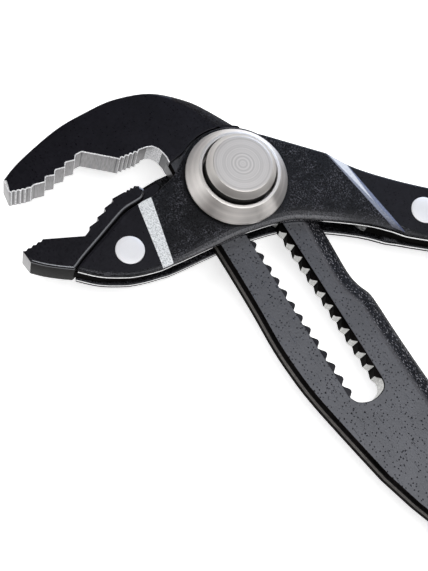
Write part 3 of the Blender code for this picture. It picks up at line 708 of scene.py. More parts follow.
EDGE_BREAK = 0.12
rear_loop = [
    (u, v) if u >= LAST_ROOT else (u, math.copysign(SLOT_HALF - REAR_SHARE * (SLOT_HALF - abs(v)), v))
    for u, v in slot_loop
]
slot_rings = [
    slot_ring(rear_loop, EDGE_BREAK, [LEVER_LOW] * count),
    slot_ring(rear_loop, 0.0, [LEVER_LOW + EDGE_BREAK] * count),
    slot_ring(slot_loop, 0.0, [h - EDGE_BREAK for h in ledge_heights]),
    slot_ring(slot_loop, EDGE_BREAK, ledge_heights),
    slot_ring(ledge_loop, 0.0, ledge_heights),
    slot_ring(ledge_loop, 0.0, [LEVER_HIGH - 0.1] * count),
    slot_ring(ledge_loop, 0.1, [LEVER_HIGH] * count),
]


def flank_finish(one, two):
    """Slot teeth are bare on the flank that faces the handle, and by the last tooth."""
    widens = (abs(two[1]) - abs(one[1])) * (two[0] - one[0]) > 0
    at_end = min(one[0], two[0]) > LAST_ROOT - 0.1
    return NOTCH if (widens and not at_end) or (at_end and one[1] > 0.5) else DULL


flanks = [flank_finish(one, two) for one, two in zip(slot_loop, slot_loop[1:] + slot_loop[:1])]
noses = [DULL if v > 0 else BLACK for u, v in slot_loop]
slot_finishes = [DULL, flanks, DULL, noses, DULL, GREY]
for one, two, finish in zip(slot_rings, slot_rings[1:], slot_finishes):
    band(bm, one, two, finish)
flat(bm, [bar_high_loop, slot_rings[-1]])
flat(bm, [bar_low_loop, slot_rings[0]])
lever = piece_of("slotted_lever_forging", bm, LEVER_FINISHES)
fused(lever, upper_jaw)
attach(lever, "moving_lever")
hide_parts("slotted_lever")


# The lower jaw: a steel block with ground teeth on its mouth side. Its thinner tongue goes between
# the side plates, where a rivet holds it. The block is painted before the tip is ground.
TONGUE_HEIGHTS = (7.9, 12.1)
lower_teeth = [
    *ridges((-35.6, -51.3), (-33.3, -45.5), 4, -0.4),
    *[(-24.7, -38.3), (-24.6, -36.1), (-25.2, -35.4), (-24.25, -32.5), (-25.0, -31.9)],
    *[(-24.15, -29.1), (-24.9, -28.5), (-24.05, -25.55), (-24.7, -25.0), (-23.1, -21.4)],
    *ridges((-22.7, -21.2), (-21.3, -18.0), 3, 0.45),
]
lower_side = curve_through(
    [(-20.8, -17.6), (-19.4, -17.5), (-18.6, -18.0), (-18.1, -19.4), (-18.3, -20.9), (-19.9, -25.0)]
    + [(-20.4, -28.0), (-21.0, -36.0), (-21.6, -43.3), (-21.7, -47.3), (-22.6, -48.2), (-25.1, -49.6)]
    + [(-28.6, -51.3), (-32.2, -52.6)],
    4,
)
lower_jaw_outline = [*lower_teeth, *lower_side][::-1]
gloss_shades = (0.006, 0.006, 0.007), (0.012, 0.012, 0.013)
gloss_edge = enamel("glossy edge enamel", *gloss_shades, 0.16, 1.0, (0.8, 0.03), 0)
wall_shades = (0.004, 0.004, 0.004), (0.012, 0.011, 0.011)
jaw_wall = enamel("lower jaw wall paint", *wall_shades, 0.5, 0.05, (0.9, 0.03), 0)
LOWER_JAW_FINISHES = [jaw_enamel, tooth_steel, jaw_wall, gloss_edge, dull_enamel]
LOWER_FACE, LOWER_TEETH, LOWER_WALL, LOWER_GLOSS, TONGUE_WALL = range(len(LOWER_JAW_FINISHES))
smooth, toothed = len(lower_side) - 1, len(lower_jaw_outline) - len(lower_side) + 1
lower_walls = [LOWER_WALL] * smooth + [LOWER_TEETH] * toothed
lower_edges = [LOWER_GLOSS] * smooth + [LOWER_FACE] * toothed
lower_roll = [(0.7, 0.6)] * smooth + [(0.15, 0.15)] * toothed
bm = slab(lower_jaw_outline, JAW_HEIGHTS, lower_roll, lower_walls, lower_edges)
lower_jaw = piece_of("lower_jaw_block", bm, LOWER_JAW_FINISHES)
tongue_outline = [
    *[(-23.0, -24.0), (-23.4, -42.0), (-22.6, -48.0), (-20.9, -47.1), (-15.5, -44.9), (-11.3, -41.9)],
    *[(-7.4, -38.6), (-2.4, -32.0), (-1.0, -29.5), (-14.2, -17.4), (-15.3, -16.8), (-16.2, -12.8)],
    *[(-18.0, -12.6), (-19.5, -16.2), (-20.2, -18.6)],
]
JAW_RIVET = (-12.7, -34.7)
TONGUE_ROLL = (0.2, 0.2)
bm = slab(tongue_outline, TONGUE_HEIGHTS, TONGUE_ROLL, TONGUE_WALL, TONGUE_WALL, rivets=[JAW_RIVET])
fused(lower_jaw, piece_of("jaw_tongue", bm, LOWER_JAW_FINISHES))
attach(lower_jaw, "fixed_lever")
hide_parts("lower_jaw")


# The handle core: a cast steel bar between the plates along the upper handle, held by their rivets.
# It is black as painted shade between the plates, but for its low end, which shows below the front plate as
# a bare grey lump.
UPPER_ARM = {"start": (49.8, 24.3), "headings": (20.7, 4.7), "length": 172.0}
UPPER_TANG = [(14, 7.5), (40, 7.2), (70, 7.0), (100, 7.0), (130, 7.0), (160, 7.0)]
UPPER_TANG_END = 171.0
HANDLE_RIVETS = (0.0, 30.0, 112.0)
CORE_ROLL = (0.4, 0.4)
core_low_side = [arm_point(UPPER_ARM, t, 0.5 - half) for t, half in UPPER_TANG]
core_high_side = [arm_point(UPPER_ARM, t, half - 0.5) for t, half in UPPER_TANG[::-1]]
core_outline = [
    *[(34.3, 11.6), (36.1, 11.05), (38.5, 11.4), (49.0, 15.2)],
    *curve_through(core_low_side, 3),
    *[arm_point(UPPER_ARM, UPPER_TANG_END - 1.0, side * 4.2) for side in (-1, 1)],
    *curve_through(core_high_side, 3),
    *[(46.9, 29.8), (31.3, 23.8), (26.0, 22.3), (25.0, 19.0)],
]


def rough_steel(name, grain, shades, roughness, metallic, depth):
    """Unworked steel with a grain of a (size, detail); its shade and roughness follow the grain."""
    finish, tree, where = new_finish(name)
    lumps = noise(tree, where, *grain)
    shade, rough = ramp(tree, lumps, shades), ramp(tree, lumps, roughness)
    return coated(finish, shade, rough, bump(tree, lumps, depth), {"Metallic": metallic})


CAST_GREYS, CAST_ROUGHNESS = [(0.38, 0.008), (0.62, 0.24)], [(0.3, 0.42), (0.8, 0.6)]
core_steel = rough_steel("cast core steel", (1.1, 4.0), CAST_GREYS, CAST_ROUGHNESS, 0.6, 0.5)
handle_spots = [arm_point(UPPER_ARM, t) for t in HANDLE_RIVETS]
bm = slab(core_outline, TONGUE_HEIGHTS, CORE_ROLL, rivets=handle_spots)
LUMP_REACH = (42.5, 17.0)
for face in bm.faces:
    middle = face.calc_center_median() / MM
    face.material_index = 0 if middle.x < LUMP_REACH[0] and middle.y < LUMP_REACH[1] else 1
handle_core = piece_of("cast_handle_core", bm, [core_steel, dull_enamel])
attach(handle_core, "fixed_lever")
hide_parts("handle_core")


# The side plates: steel sheet, blanked and pressed with a step at each end, so that they stand
# off the lever in the middle and close on the jaw and on the core. They are painted black. The front
# plate's step beside the jaw is left bare. The bend at the handle end has a painted reflection on
# both plates: a bluish tint with a light wedge down it.
PLATE_FACE, PLATE_THICKNESS = 15.7, 2.4
MID_PLANE = 10.0
JOGGLE_DEPTH = 0.9
PLATE_EDGE_RADIUS = 15.7
COLLAR_HOLE, PISTON_HOLE = 11.4, 9.1
JAW_STEP = {"low": ((-18.0, -22.5), (-2.6, -33.9)), "high": ((-16.7, -18.4), (-1.2, -31.3)), "soft": 0.06}
HANDLE_STEP = {"low": ((49.3, 14.5), (24.9, 22.8)), "high": ((45.2, 13.3), (17.6, 21.9)), "soft": 0.15}
beside_jaw = [(-17.6, -20.9), (-19.3, -25.0), (-19.8, -28.0), (-20.4, -36.0), (-21.1, -43.3), (-21.4, -46.9)]
front_jaw_side = [
    *[(-0.5, 16.2), *arc(PLATE_EDGE_RADIUS, 97, 201.5, 30), (-14.6, -10.5), (-16.1, -18.4)],
    *beside_jaw,
]
rear_jaw_side = [
    *[(-0.5, 16.2), *arc(PLATE_EDGE_RADIUS, 97, 196, 28)],
    *[(-15.4, -6.0), (-17.4, -6.6), (-19.1, -9.75), (-20.7, -13.7), (-20.7, -16.9), (-18.9, -17.3)],
    *beside_jaw,
]
plate_low_side = [
    *[(-20.8, -47.4), (-15.4, -45.3), (-10.9, -42.5), (-6.8, -39.1), (-1.4, -32.4), (5.5, -20.6)],
    *[(10.0, -12.9), (18.1, -2.3), (25.0, 2.9), (38.3, 10.4), (49.3, 14.6)],
    *[arm_point(UPPER_ARM, t, -half) for t, half in UPPER_TANG],
]
plate_high_side = [
    *[arm_point(UPPER_ARM, t, half) for t, half in UPPER_TANG[::-1]],
    *[(47.1, 30.4), (39.2, 27.2), (31.1, 24.4), (24.9, 22.8), (17.6, 21.7)],
]
low_edge = curve_through(plate_low_side, 4)
plate_end = [arm_point(UPPER_ARM, UPPER_TANG_END, side * TANG_TIP_HALF) for side in (-1, 1)]
high_edge = curve_through(plate_high_side, 3)


def press_line(step, share):
    """A line across a plate, at a share of the way down one of its steps."""
    return [Vector(h).lerp(Vector(l), share) for h, l in zip(step["high"], step["low"])]


def past(line, point):
    """How far a point lies past a line, on the side where the plate has stepped down."""
    start, along = Vector(line[0]), (Vector(line[1]) - Vector(line[0])).normalized()
    return -along.cross(Vector(point) - start)


def share_of_step(step, point):
    """0 on a step's upper line and 1 on its lower line, and below 0 or over 1 outside them."""
    past_high, past_low = past(step["high"], point), past(step["low"], point)
    if past_low > 2.0:
        return 2.0
    return -1.0 if past_high < -2.0 else past_high / (past_high - past_low)


def sunk(point):
    """The share of the step's depth by which a plate has closed in at a point, bends rounded."""
    depth = 0.0
    for step in (JAW_STEP, HANDLE_STEP):
        s, soft = share_of_step(step, point), step["soft"]
        if s >= 1 + soft:
            depth = 1.0
        elif s > 1 - soft:
            depth = 1 - (1 + soft - s) ** 2 / (4 * soft)
        elif s > soft:
            depth = s
        elif s > -soft:
            depth = (s + soft) ** 2 / (4 * soft)
    return depth


HIGH_SPREAD = 0.6
STRIPE_REACH = 0.3
GLINT_BAND_SHARE = (0.05, 0.5)
SOFT_LOW_EDGE = (-4.0, 10.0), (54.0, 40.0)
PLATE_ROLL, INNER_ROLL = (0.5, 0.45), (0.35, 0.35)
PLATE_PAINT, STRIPE, BEND, PLATE_WALL, EDGE_GLINT, EDGE_SHEEN, CLOSED_IN = range(7)


def pressed_plate(name, side, jaw_side, bore, finishes, low_roll, low_spread):
    """A side plate; side is 1 for the front one and -1 for the rear one.

    The low roll is a thin and a wide roll for the lower edge: wide in the middle, thin at its ends.
    """
    bm = bmesh.new()
    blank = [*jaw_side, *low_edge, *plate_end, *high_edge]
    first = len(jaw_side)
    soft_edge = range(first, first + len(low_edge))
    spread = [0.0] * first + [-low_spread] * len(low_edge)
    spread += [-HIGH_SPREAD] * (len(blank) - len(spread))
    outline = inset(blank, spread)
    outer = [PLATE_ROLL] * len(outline)
    for i in soft_edge:
        share = min(share_along(outline[i][0], *ends) for ends in SOFT_LOW_EDGE)
        outer[i] = blend(*low_roll, share)
    # A bright steel band along the soft edge's wall is a painted highlight
    seam = (*GLINT_BAND_SHARE, [EDGE_GLINT if i in soft_edge else PLATE_WALL for i in range(len(outline))])
    sheet = 0.0, PLATE_THICKNESS
    # The soft lower edge's roll takes the painted sheen
    rolls = [EDGE_SHEEN if i in soft_edge else PLATE_PAINT for i in range(len(outline))]
    finish_rows = PLATE_WALL, rolls, rolls, seam
    inner_loop, outer_loop = rolled_walls(bm, outline, *sheet, INNER_ROLL, outer, *finish_rows)
    holes = [hole(bm, (0, 0), bore, *sheet, 96)]
    holes += [hole(bm, spot, RIVET_HOLE, *sheet) for spot in (JAW_RIVET, *handle_spots)]
    flat(bm, [inner_loop, *[pair[0] for pair in holes]])
    flat(bm, [outer_loop, *[pair[1] for pair in holes]])
    for step in (JAW_STEP, HANDLE_STEP):
        soft = step["soft"]
        for share in [bend + k * soft / 2 for bend in (0, 1) for k in range(-2, 3)]:
            start, end = press_line(step, share)
            normal = (start.y - end.y, end.x - start.x, 0)
            everything = [*bm.verts, *bm.edges, *bm.faces]
            point = (start.x * MM, start.y * MM, 0)
            bmesh.ops.bisect_plane(bm, geom=everything, dist=1e-7, plane_co=point, plane_no=normal)
    for face in bm.faces:
        middle = face.calc_center_median() / MM
        if middle.z > PLATE_THICKNESS - STRIPE_REACH:
            jaw_share, handle_share = (share_of_step(step, middle.xy) for step in (JAW_STEP, HANDLE_STEP))
            if 0.0 < jaw_share < 1.0:
                face.material_index = STRIPE
            elif 0.0 < handle_share < 1.0:
                face.material_index = BEND
            elif max(jaw_share, handle_share) >= 1.0 and face.material_index == PLATE_PAINT:
                face.material_index = CLOSED_IN
    for vert in bm.verts:
        height = PLATE_FACE - PLATE_THICKNESS - MID_PLANE - JOGGLE_DEPTH * sunk(vert.co.xy / MM)
        vert.co.z = MID_PLANE * MM + side * (vert.co.z + height * MM)
    plate = piece_of(name, bm, finishes, sharp=28)
    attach(plate, "fixed_lever")
    return plate


def from_axis(tree, where):
    """Distance from the piece's own axis."""
    parts = parts_of(tree, where)
    flat_way = node(tree, "ShaderNodeCombineXYZ", {"X": parts["X"], "Y": parts["Y"]}).outputs[0]
    return node(tree, "ShaderNodeVectorMath", {0: flat_way}, operation="LENGTH").outputs["Value"]


WEDGE_SIDES = [(0.3, 0.055, 1), (3.7, -0.128, -1)]
STREAK_TURN = math.radians(60)
PAINTED_SHADOW_REACH = (14.9, 16.2)
SHEEN_REACH = (25.0, 38.0)


def plate_paint(name, dark, light, roughness, painted_sheen=None):
    """Semi-gloss sprayed paint on rolled sheet: a fine grain, light specks and brushed streaks.

    A painted shadow darkens it round the bezel's foot, and a painted sheen lightens edges near the bezel
    where they round over.
    """
    finish, tree, where = new_finish(name)
    grain = noise(tree, where, 0.4, 2.0)
    streaks = noise(tree, where, 0.9, 3.0, (4, 1, 1), STREAK_TURN)
    slow = noise(tree, where, 7.0, 3.0)
    patch = ramp(tree, calc(tree, "MULTIPLY", streaks, slow), [(0.16, 0.05), (0.36, 1.0)])
    speck = ramp(tree, grain, [(0.5, 0.0), (0.72, 0.9)])
    radius = from_axis(tree, where)
    # Painted shadow: the paint darkens towards the bezel's foot
    unshadowed = rise(tree, radius, PAINTED_SHADOW_REACH[0] * MM, PAINTED_SHADOW_REACH[1] * MM)
    shade = calc(tree, "MULTIPLY", calc(tree, "MULTIPLY", speck, patch), unshadowed)
    paint = mixed(tree, shade, dark, light)
    if painted_sheen:
        # Painted sheen: lighter on the rounding of an edge, uneven with the grain, fading away from the
        # bezel; bare is its share
        upright = parts_of(tree, node(tree, "ShaderNodeNewGeometry").outputs["True Normal"])["Z"]
        rounding = ramp(tree, upright, [(0.94, 1.0), (0.998, 0.0)])
        uneven = ramp(tree, grain, [(0.3, 0.4), (0.6, 1.0)])
        sheen_fade = rise(tree, radius, SHEEN_REACH[1] * MM, SHEEN_REACH[0] * MM)
        bare = calc(tree, "MULTIPLY", calc(tree, "MULTIPLY", rounding, uneven), sheen_fade)
        paint = mixed(tree, bare, paint, painted_sheen)
    rough = ramp(tree, grain, [(0.3, roughness - 0.06), (0.7, roughness + 0.1)])
    rolling = bump(tree, noise(tree, where, 2.4, 3.0), 0.04)
    grained = bump(tree, grain, 0.09, rolling)
    return coated(finish, paint, rough, grained, {"Specular IOR Level": 0.22, "Specular Tint": PAINT_TINT})


def bend_reflection_paint(name):
    """Gloss paint over the handle's bend with a painted reflection: a bluish tint, lighter in a wedge down
    the bend.
    """
    finish, tree, where = new_finish(name)
    (foot_x, foot_y), (head_x, head_y) = HANDLE_STEP["high"]
    turn = math.atan2(foot_y - head_y, foot_x - head_x)
    place = {"Vector": where, "Location": (head_x * MM, head_y * MM, 0), "Rotation": (0, 0, turn)}
    place["Scale"] = (MM, MM, MM)
    bend = parts_of(tree, node(tree, "ShaderNodeMapping", place, vector_type="TEXTURE").outputs[0])
    sides = []
    for start, slope, way in WEDGE_SIDES:
        edge = calc(tree, "MULTIPLY_ADD", bend["X"], slope, start)
        sides.append(rise(tree, calc(tree, "SUBTRACT", bend["Y"], edge), -0.15 * way, 0.15 * way))
    painted_wedge = calc(tree, "MULTIPLY", *sides)
    # The bluish tint is a painted reflection of the window lamp; the light wedge is a painted highlight
    left = mixed(tree, sides[0], (0.11, 0.115, 0.15), (0.07, 0.085, 0.16))
    grain = noise(tree, where, 0.6, 3.0)
    strength = calc(tree, "MULTIPLY", painted_wedge, ramp(tree, grain, [(0.2, 0.75), (0.5, 1.0)]))
    paint = mixed(tree, strength, left, (0.56, 0.58, 0.63))
    rough = ramp(tree, grain, [(0.3, 0.2), (0.7, 0.32)])
    return coated(finish, paint, rough, bump(tree, grain, 0.02), {"Specular IOR Level": 0.45})


PLATE_SHADES = (0.0002, 0.0002, 0.0005), (0.11, 0.11, 0.13)
plate_black = plate_paint("plate enamel", *PLATE_SHADES, 0.3)
# Plate paint with painted sheen on the soft lower edge
sheen_edge_paint = plate_paint("worn plate edge", *PLATE_SHADES, 0.3, (0.15, 0.15, 0.158))
# Bright steel as a painted highlight on the plates' lower wall
glint_edge_steel = ground_steel("plate edge with painted highlight", (0.85, 0.85, 0.86), 0.25, 0.5, (1, 1, 1))
BARE_GREYS = [(0.35, (0.4, 0.42, 0.44)), (0.5, (0.68, 0.7, 0.72)), (0.7, (0.8, 0.82, 0.84))]
bare_step = rough_steel("bare step", (0.35, 2.0), BARE_GREYS, [(0.3, 0.62), (0.7, 0.48)], 0.35, 0.03)
plate_finishes = [plate_black, bare_step, bend_reflection_paint("worn bend"), dull_enamel]
plate_finishes += [glint_edge_steel, sheen_edge_paint, jaw_enamel]
front_roll, rear_roll = ((1.0, 0.5), (3.6, 1.0)), ((0.6, 0.4), (0.6, 0.4))
front_form = 1, front_jaw_side, COLLAR_HOLE
front_plate = pressed_plate("front_side_plate", *front_form, plate_finishes, front_roll, 0.0)
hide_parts("front_plate")
plate_finishes[STRIPE] = plate_black
rear_form = -1, rear_jaw_side, PISTON_HOLE
rear_plate = pressed_plate("rear_side_plate", *rear_form, plate_finishes, rear_roll, 0.1)
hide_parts("rear_plate")


# The rivets: soft steel pins through the plates and what lies between them, headed over and
# then ground flush with the paint, which leaves bright discs with faint round marks.
RIVET_TOP = PLATE_FACE - JOGGLE_DEPTH
RIVET_RADIUS, RIVET_EDGE = 4.0, 0.15


def turned(name, profile, finishes, steps=96, centre=(0.0, 0.0), sharp=25, ring=False, wall_top=0.0):
    """A profile of (radius, height) points turned about Z; walls below a height take the second finish."""
    bm = bmesh.new()
    loops = []
    for radius, height in profile:
        if radius == 0:
            loops.append([bm.verts.new((0, 0, height * MM))])
        else:
            loops.append(loop_of(bm, circle(radius, steps), [height] * steps))
    if ring:
        loops.append(loops[0])
    for one, two in zip(loops, loops[1:]):
        if len(one) == 1 or len(two) == 1:
            tip, rim = (one, two) if len(one) == 1 else (two, one)
            for i, vert in enumerate(rim):
                bm.faces.new((tip[0], vert, rim[(i + 1) % steps]))
        else:
            band(bm, one, two)
    obj = piece_of(name, bm, finishes, sharp)
    for face in obj.data.polygons:
        face.material_index = 1 if face.center.z < wall_top * MM and abs(face.normal.z) < 0.5 else 0
    obj.location = (centre[0] * MM, centre[1] * MM, 0)
    return obj


def turned_steel(name, colour, metallic, roughness, pitch, anisotropic, groove, ring_shade=0.82):
    """Steel faced on a lathe: fine rings round the axis, of uneven strength."""
    finish, tree, where = new_finish(name)
    radius = from_axis(tree, where)
    track = calc(tree, "ADD", radius, parts_of(tree, where)["Z"])
    along = node(tree, "ShaderNodeCombineXYZ", {"X": track}).outputs[0]
    rings = noise(tree, along, pitch, 3.0)
    stains = noise(tree, where, 5.0, 3.0)
    shade = mixed(tree, ramp(tree, rings, [(0.36, 0.0), (0.64, 1.0)]), dimmed(colour, ring_shade), colour)
    cloud = ramp(tree, stains, [(0.5, 0.0), (0.85, 0.3)])
    shade = mixed(tree, cloud, shade, dimmed(colour, 0.75))
    rough = ramp(tree, rings, [(0.3, roughness - 0.04), (0.7, roughness + 0.06)])
    tangent = node(tree, "ShaderNodeTangent", direction_type="RADIAL", axis="Z").outputs[0]
    more = {"Metallic": metallic, "Specular Tint": (0.7, 0.7, 0.7, 1.0), "Tangent": tangent}
    more |= {"Anisotropic": anisotropic, "Anisotropic Rotation": 0.25}
    return coated(finish, shade, rough, bump(tree, rings, groove), more)


rivet_steel = turned_steel("ground rivet steel", (0.74, 0.74, 0.76), 0.35, 0.5, 0.4, 0.2, 0.005, 0.96)
inner = RIVET_RADIUS - RIVET_EDGE
rivet_profile = [(0, RIVET_TOP), (2.4, RIVET_TOP), (inner, RIVET_TOP)]
rivet_profile += [(RIVET_RADIUS - 0.04, RIVET_TOP - 0.05), (RIVET_RADIUS, RIVET_TOP - RIVET_EDGE)]
rivet_profile += [(radius, 2 * MID_PLANE - height) for radius, height in rivet_profile[::-1]]
rivet_spots = {"jaw_rivet": JAW_RIVET}
for number, spot in enumerate(handle_spots, 1):
    rivet_spots[f"handle_rivet_{number}"] = spot
for name, spot in rivet_spots.items():
    rivet = turned(f"flush_{name}", rivet_profile, [rivet_steel], 64, spot)
    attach(rivet, "fixed_lever")
    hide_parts(name)


# The collar: a conical bezel turned from bar, with a sleeve down into the front plate's hole
# and a floor that carries the washer and the spring.
collar_steel = turned_steel("turned bezel", (0.79, 0.755, 0.73), 0.93, 0.34, 0.3, 0.7, 0.006)
COLLAR_PROFILE = [
    *[(10.4, 20.95), (10.46, 21.12), (10.62, 21.2), (11.2, 21.2), (11.45, 21.12), (11.66, 20.85)],
    *[(14.38, 16.95), (14.47, 16.82), (14.5, 16.65), (14.5, 15.9), (14.4, 15.75)],
    *[(11.3, 15.75), (11.3, 13.4), (6.3, 13.4), (6.3, 14.6), (10.4, 14.6)],
]
# Near-black steel for the bezel's foot wall and the button's side walls: painted shade in the gap, a painted
# shadow under the bezel
shaded_wall_steel = turned_steel("walls in painted shade", (0.016, 0.015, 0.014), 0.3, 0.5, 0.3, 0.2, 0.006)
rim_steel = turned_steel("faced rim", (0.7, 0.675, 0.655), 0.7, 0.42, 0.3, 0.05, 0.006)
collar_finishes = [collar_steel, shaded_wall_steel, rim_steel]
collar = turned("conical_collar", COLLAR_PROFILE, collar_finishes, 128, ring=True, wall_top=16.7)
for face in collar.data.polygons:
    if face.normal.z > 0.8:
        face.material_index = collar_finishes.index(rim_steel)
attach(collar, "fixed_lever")
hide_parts("button_collar")


# The push button: turned from bar like the bezel, with a faced top, a chamfer and a skirt
# round the spring. The plunger's stub is pressed into it from below.
button_steel = turned_steel("faced button", (0.62, 0.592, 0.57), 0.7, 0.42, 0.48, 0.05, 0.014, 0.7)
BUTTON_PROFILE = [
    *[(0, 25.0), (4.0, 25.0), (7.8, 25.0), (8.05, 25.0), (8.25, 24.93), (9.4, 23.62), (9.65, 23.4)],
    *[(9.8, 23.1), (9.8, 18.7), (9.7, 18.6), (8.95, 18.6), (8.9, 18.7), (8.9, 22.4), (3.6, 22.4)],
    *[(3.6, 24.0), (0, 24.0)],
]
button = turned("turned_button", BUTTON_PROFILE, [button_steel, shaded_wall_steel], 128, wall_top=23.2)
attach(button, "push_lock")
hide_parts("push_button")


# The return spring: a few turns of round spring wire, coiled cold. It stands between the washer and
# the button, and is held by nothing else.
SPRING_RADIUS, WIRE_RADIUS, SPRING_TURNS = 7.6, 0.5, 2.5
SPRING_LOW, SPRING_HIGH = 15.9, 21.85
TURN_STEPS, WIRE_SIDES = 40, 12
spring_wire = ground_steel("drawn spring wire", (0.5, 0.51, 0.55), 0.3, 0.4, (1, 1, 1))
bm = bmesh.new()
wire_loops = []
steps = round(SPRING_TURNS * TURN_STEPS)
for i in range(steps + 1):
    turn = 2 * math.pi * i / TURN_STEPS
    height = SPRING_LOW + (SPRING_HIGH - SPRING_LOW) * i / steps
    loop = []
    for k in range(WIRE_SIDES):
        side = 2 * math.pi * k / WIRE_SIDES
        out = SPRING_RADIUS + WIRE_RADIUS * math.cos(side)
        up = height + WIRE_RADIUS * math.sin(side)
        loop.append(bm.verts.new((out * math.cos(turn) * MM, out * math.sin(turn) * MM, up * MM)))
    wire_loops.append(loop)
for one, two in zip(wire_loops, wire_loops[1:]):
    band(bm, one, two)
bm.faces.new(wire_loops[0])
bm.faces.new(wire_loops[-1])
spring = piece_of("wound_spring", bm, [spring_wire], 50)
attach(spring, "pivot_core")
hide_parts("return_spring")
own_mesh(spring)


# The plunger and its washer: hardened steel with a blued skin. The plunger's toothed key locks
# the slot, and its flatted neck keeps the washer from turning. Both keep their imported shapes.
blued_steel = ground_steel("blued hardened steel", (0.30, 0.31, 0.34), 0.36, 0.5, (1, 1, 3))
for name in ("locking_plunger", "keyed_washer"):
    inside = bpy.data.objects[name]
    inside.data.materials.clear()
    inside.data.materials.append(blued_steel)


# The rear cap: a turned dish that closes the plunger's bore and gives the tool its resting face.
# Three small rivets hold it on the rear plate.
CAP_RIVET_CIRCLE, CAP_RIVET_RADIUS, CAP_RIVET_HOLE = 11.9, 1.2, 1.26
cap_steel = turned_steel("turned cap", (0.70, 0.69, 0.68), 0.7, 0.38, 0.3, 0.4, 0.008)
CAP_PROFILE = [
    *[(0, 1.1), (9.1, 1.1), (9.1, 4.2), (9.2, 4.25), (14.4, 4.25), (14.5, 4.15), (14.5, 3.3)],
    *[(14.45, 3.08), (13.04, 0.47), (12.85, 0.15), (12.5, 0.0), (6.0, 0.0), (5.9, 0.12), (0, 0.12)],
]
cap = turned("turned_rear_cap", CAP_PROFILE, [cap_steel], 128)
bore_profile = [(0, 8), (CAP_RIVET_HOLE, 8), (CAP_RIVET_HOLE, -1), (0, -1)]
pin = [(0, 6.6), (1.1, 6.6), (CAP_RIVET_RADIUS, 6.5), (CAP_RIVET_RADIUS, 0.3), (1.05, 0.15)]
pin += [(0.6, 0.06), (0, 0.04)]
for number, spot in enumerate(arc(CAP_RIVET_CIRCLE, 90, 330, 2), 1):
    fused(cap, turned("cap_bore", bore_profile, [cap_steel], 32, spot), 25, "DIFFERENCE")
    rivet = turned(f"small_cap_rivet_{number}", pin, [rivet_steel], 32, spot)
    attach(rivet, "fixed_lever")
    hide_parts(f"cap_rivet_{number}")
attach(cap, "fixed_lever")
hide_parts("rear_cap")


# The grips: each is a hard moulded core pushed on the tang, with a flange at the front and a heel,
# and a soft sleeve moulded over its waist, with shallow finger ribs.
UPPER_GRIP, LOWER_GRIP = (50.0, 180.0), (34.0, 168.0)
SECTION_POINTS = 48
CORE_POCKET_ROOM = 0.3
# Rows of (travel, half width, half height), the heel's travel counted back from its tip
FLANGE = [(0, 10.9, 7.0), (0.4, 11.5, 7.6), (1.2, 13.2, 9.0), (2.6, 14.8, 9.7), (4.5, 15.6, 10.0)]
FLANGE += [(6.5, 15.6, 10.0), (8.5, 15.0, 10.0), (10.3, 13.9, 9.9), (11.0, 13.2, 9.8), (11.3, 12.6, 9.3)]
HEEL = [(16.3, 12.8, 9.3), (16, 13.4, 9.8), (12, 14.0, 10.0), (8, 14.2, 10.0), (4, 13.2, 9.4)]
HEEL += [(1.8, 11.4, 8.1), (0.6, 9.3, 6.4), (0, 7.0, 4.6)]
WAIST, SLEEVE_BORE = (11.0, 7.8), (11.3, 8.1)
SLEEVE_FROM_FLANGE, SLEEVE_FROM_TIP = 11.6, 16.6
SLEEVE_HALF, SLEEVE_SWELL, SLEEVE_HEIGHT = 13.2, 1.2, 9.8
RIB_PITCH, RIB_DEPTH, PLAIN_END = 6, 0.35, 9
LIP_LENGTH, LIP_DEPTH = 1.5, 0.5


def grip_section(arm, travel, half_width, half_height):
    """A ring of points round a handle: a rounded box that stands across the centre line."""
    ring = []
    for i in range(SECTION_POINTS):
        turn = 2 * math.pi * i / SECTION_POINTS
        c, s = math.cos(turn), math.sin(turn)
        x, y = arm_point(arm, travel, half_width * math.copysign(abs(c) ** 0.6, c))
        ring.append((x, y, MID_PLANE + half_height * math.copysign(abs(s) ** 0.6, s)))
    return ring


def skin(bm, rings, closed):
    """Rings of points joined into a skin, capped at both ends unless it closes on itself."""
    loops = [[bm.verts.new(Vector(point) * MM) for point in ring] for ring in rings]
    for one, two in zip(loops, loops[1:] + (loops[:1] if closed else [])):
        band(bm, one, two)
    if not closed:
        bm.faces.new(loops[0])
        bm.faces.new(loops[-1])


def moulded(name, colour, roughness, grain, depth):
    """Moulded plastic with a fine sparked grain and slow changes of shade."""
    finish, tree, where = new_finish(name)
    fine = noise(tree, where, grain, 3.0)
    slow = noise(tree, where, 12.0, 2.0)
    shade = mixed(tree, slow, dimmed(colour, 0.8), colour)
    rough = ramp(tree, fine, [(0.3, roughness - 0.06), (0.7, roughness + 0.06)])
    return coated(finish, shade, rough, bump(tree, fine, depth))


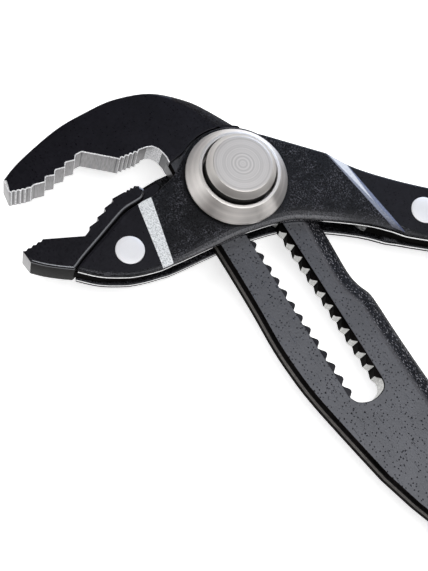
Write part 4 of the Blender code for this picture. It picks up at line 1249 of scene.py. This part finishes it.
hard_plastic = moulded("hard grip plastic", (0.018, 0.018, 0.019), 0.45, 0.5, 0.04)
soft_rubber = moulded("soft grip rubber", (0.035, 0.035, 0.037), 0.7, 0.35, 0.06)
GRIPS = {
    "upper": (UPPER_ARM, UPPER_GRIP, UPPER_TANG, UPPER_TANG_END, 4.8, "fixed_lever"),
    "lower": (LOWER_ARM, LOWER_GRIP, LOWER_TANG, LOWER_ARM["length"], 3.0, "moving_lever"),
}
for place, (arm, (first, last), tang, tang_end, tang_half, body) in GRIPS.items():
    length = last - first
    waist = [(travel, *WAIST) for travel in (11.4, length / 2, length - 16.4)]
    heel = [(length - from_tip, *halves) for from_tip, *halves in HEEL]
    bm = bmesh.new()
    skin(bm, [grip_section(arm, first + d, w, h) for d, w, h in [*FLANGE, *waist, *heel]], False)
    core = piece_of(f"{place}_moulded_core", bm, [hard_plastic], 45)
    room = CORE_POCKET_ROOM
    pocket = [arm_point(arm, t, half + room) for t, half in tang]
    pocket += [arm_point(arm, tang_end + 0.5, side * (TANG_TIP_HALF + room)) for side in (1, -1)]
    pocket += [arm_point(arm, t, -half - room) for t, half in tang[::-1]]
    bm = bmesh.new()
    heights = (MID_PLANE - tang_half - room, MID_PLANE + tang_half + room)
    low_loop, high_loop = (loop_of(bm, pocket, [height] * len(pocket)) for height in heights)
    band(bm, low_loop, high_loop)
    bm.faces.new(low_loop)
    bm.faces.new(high_loop)
    fused(core, piece_of("tang_pocket", bm, [hard_plastic]), 45, "DIFFERENCE")
    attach(core, body)
    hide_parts(f"{place}_grip_core")
    outer, bore = [], []
    start, end = first + SLEEVE_FROM_FLANGE, last - SLEEVE_FROM_TIP
    stations = round(end - start)
    for i in range(stations + 1):
        t = i / stations
        travel = start + (end - start) * t
        from_end = min(i, stations - i)
        wave = 0.5 - 0.5 * math.cos(2 * math.pi * i / RIB_PITCH)
        rib = RIB_DEPTH * wave if from_end > PLAIN_END else 0.0
        lip = LIP_DEPTH * max(0.0, 1 - from_end / LIP_LENGTH) ** 2
        half = SLEEVE_HALF + SLEEVE_SWELL * math.sin(math.pi * t) - rib - lip
        outer.append(grip_section(arm, travel, half, SLEEVE_HEIGHT - rib / 2 - lip))
        bore.append(grip_section(arm, travel, *SLEEVE_BORE))
    bm = bmesh.new()
    skin(bm, [*outer, *bore[::-1]], True)
    sleeve = piece_of(f"{place}_soft_sleeve", bm, [soft_rubber], 45)
    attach(sleeve, body)
    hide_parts(f"{place}_grip_sleeve")
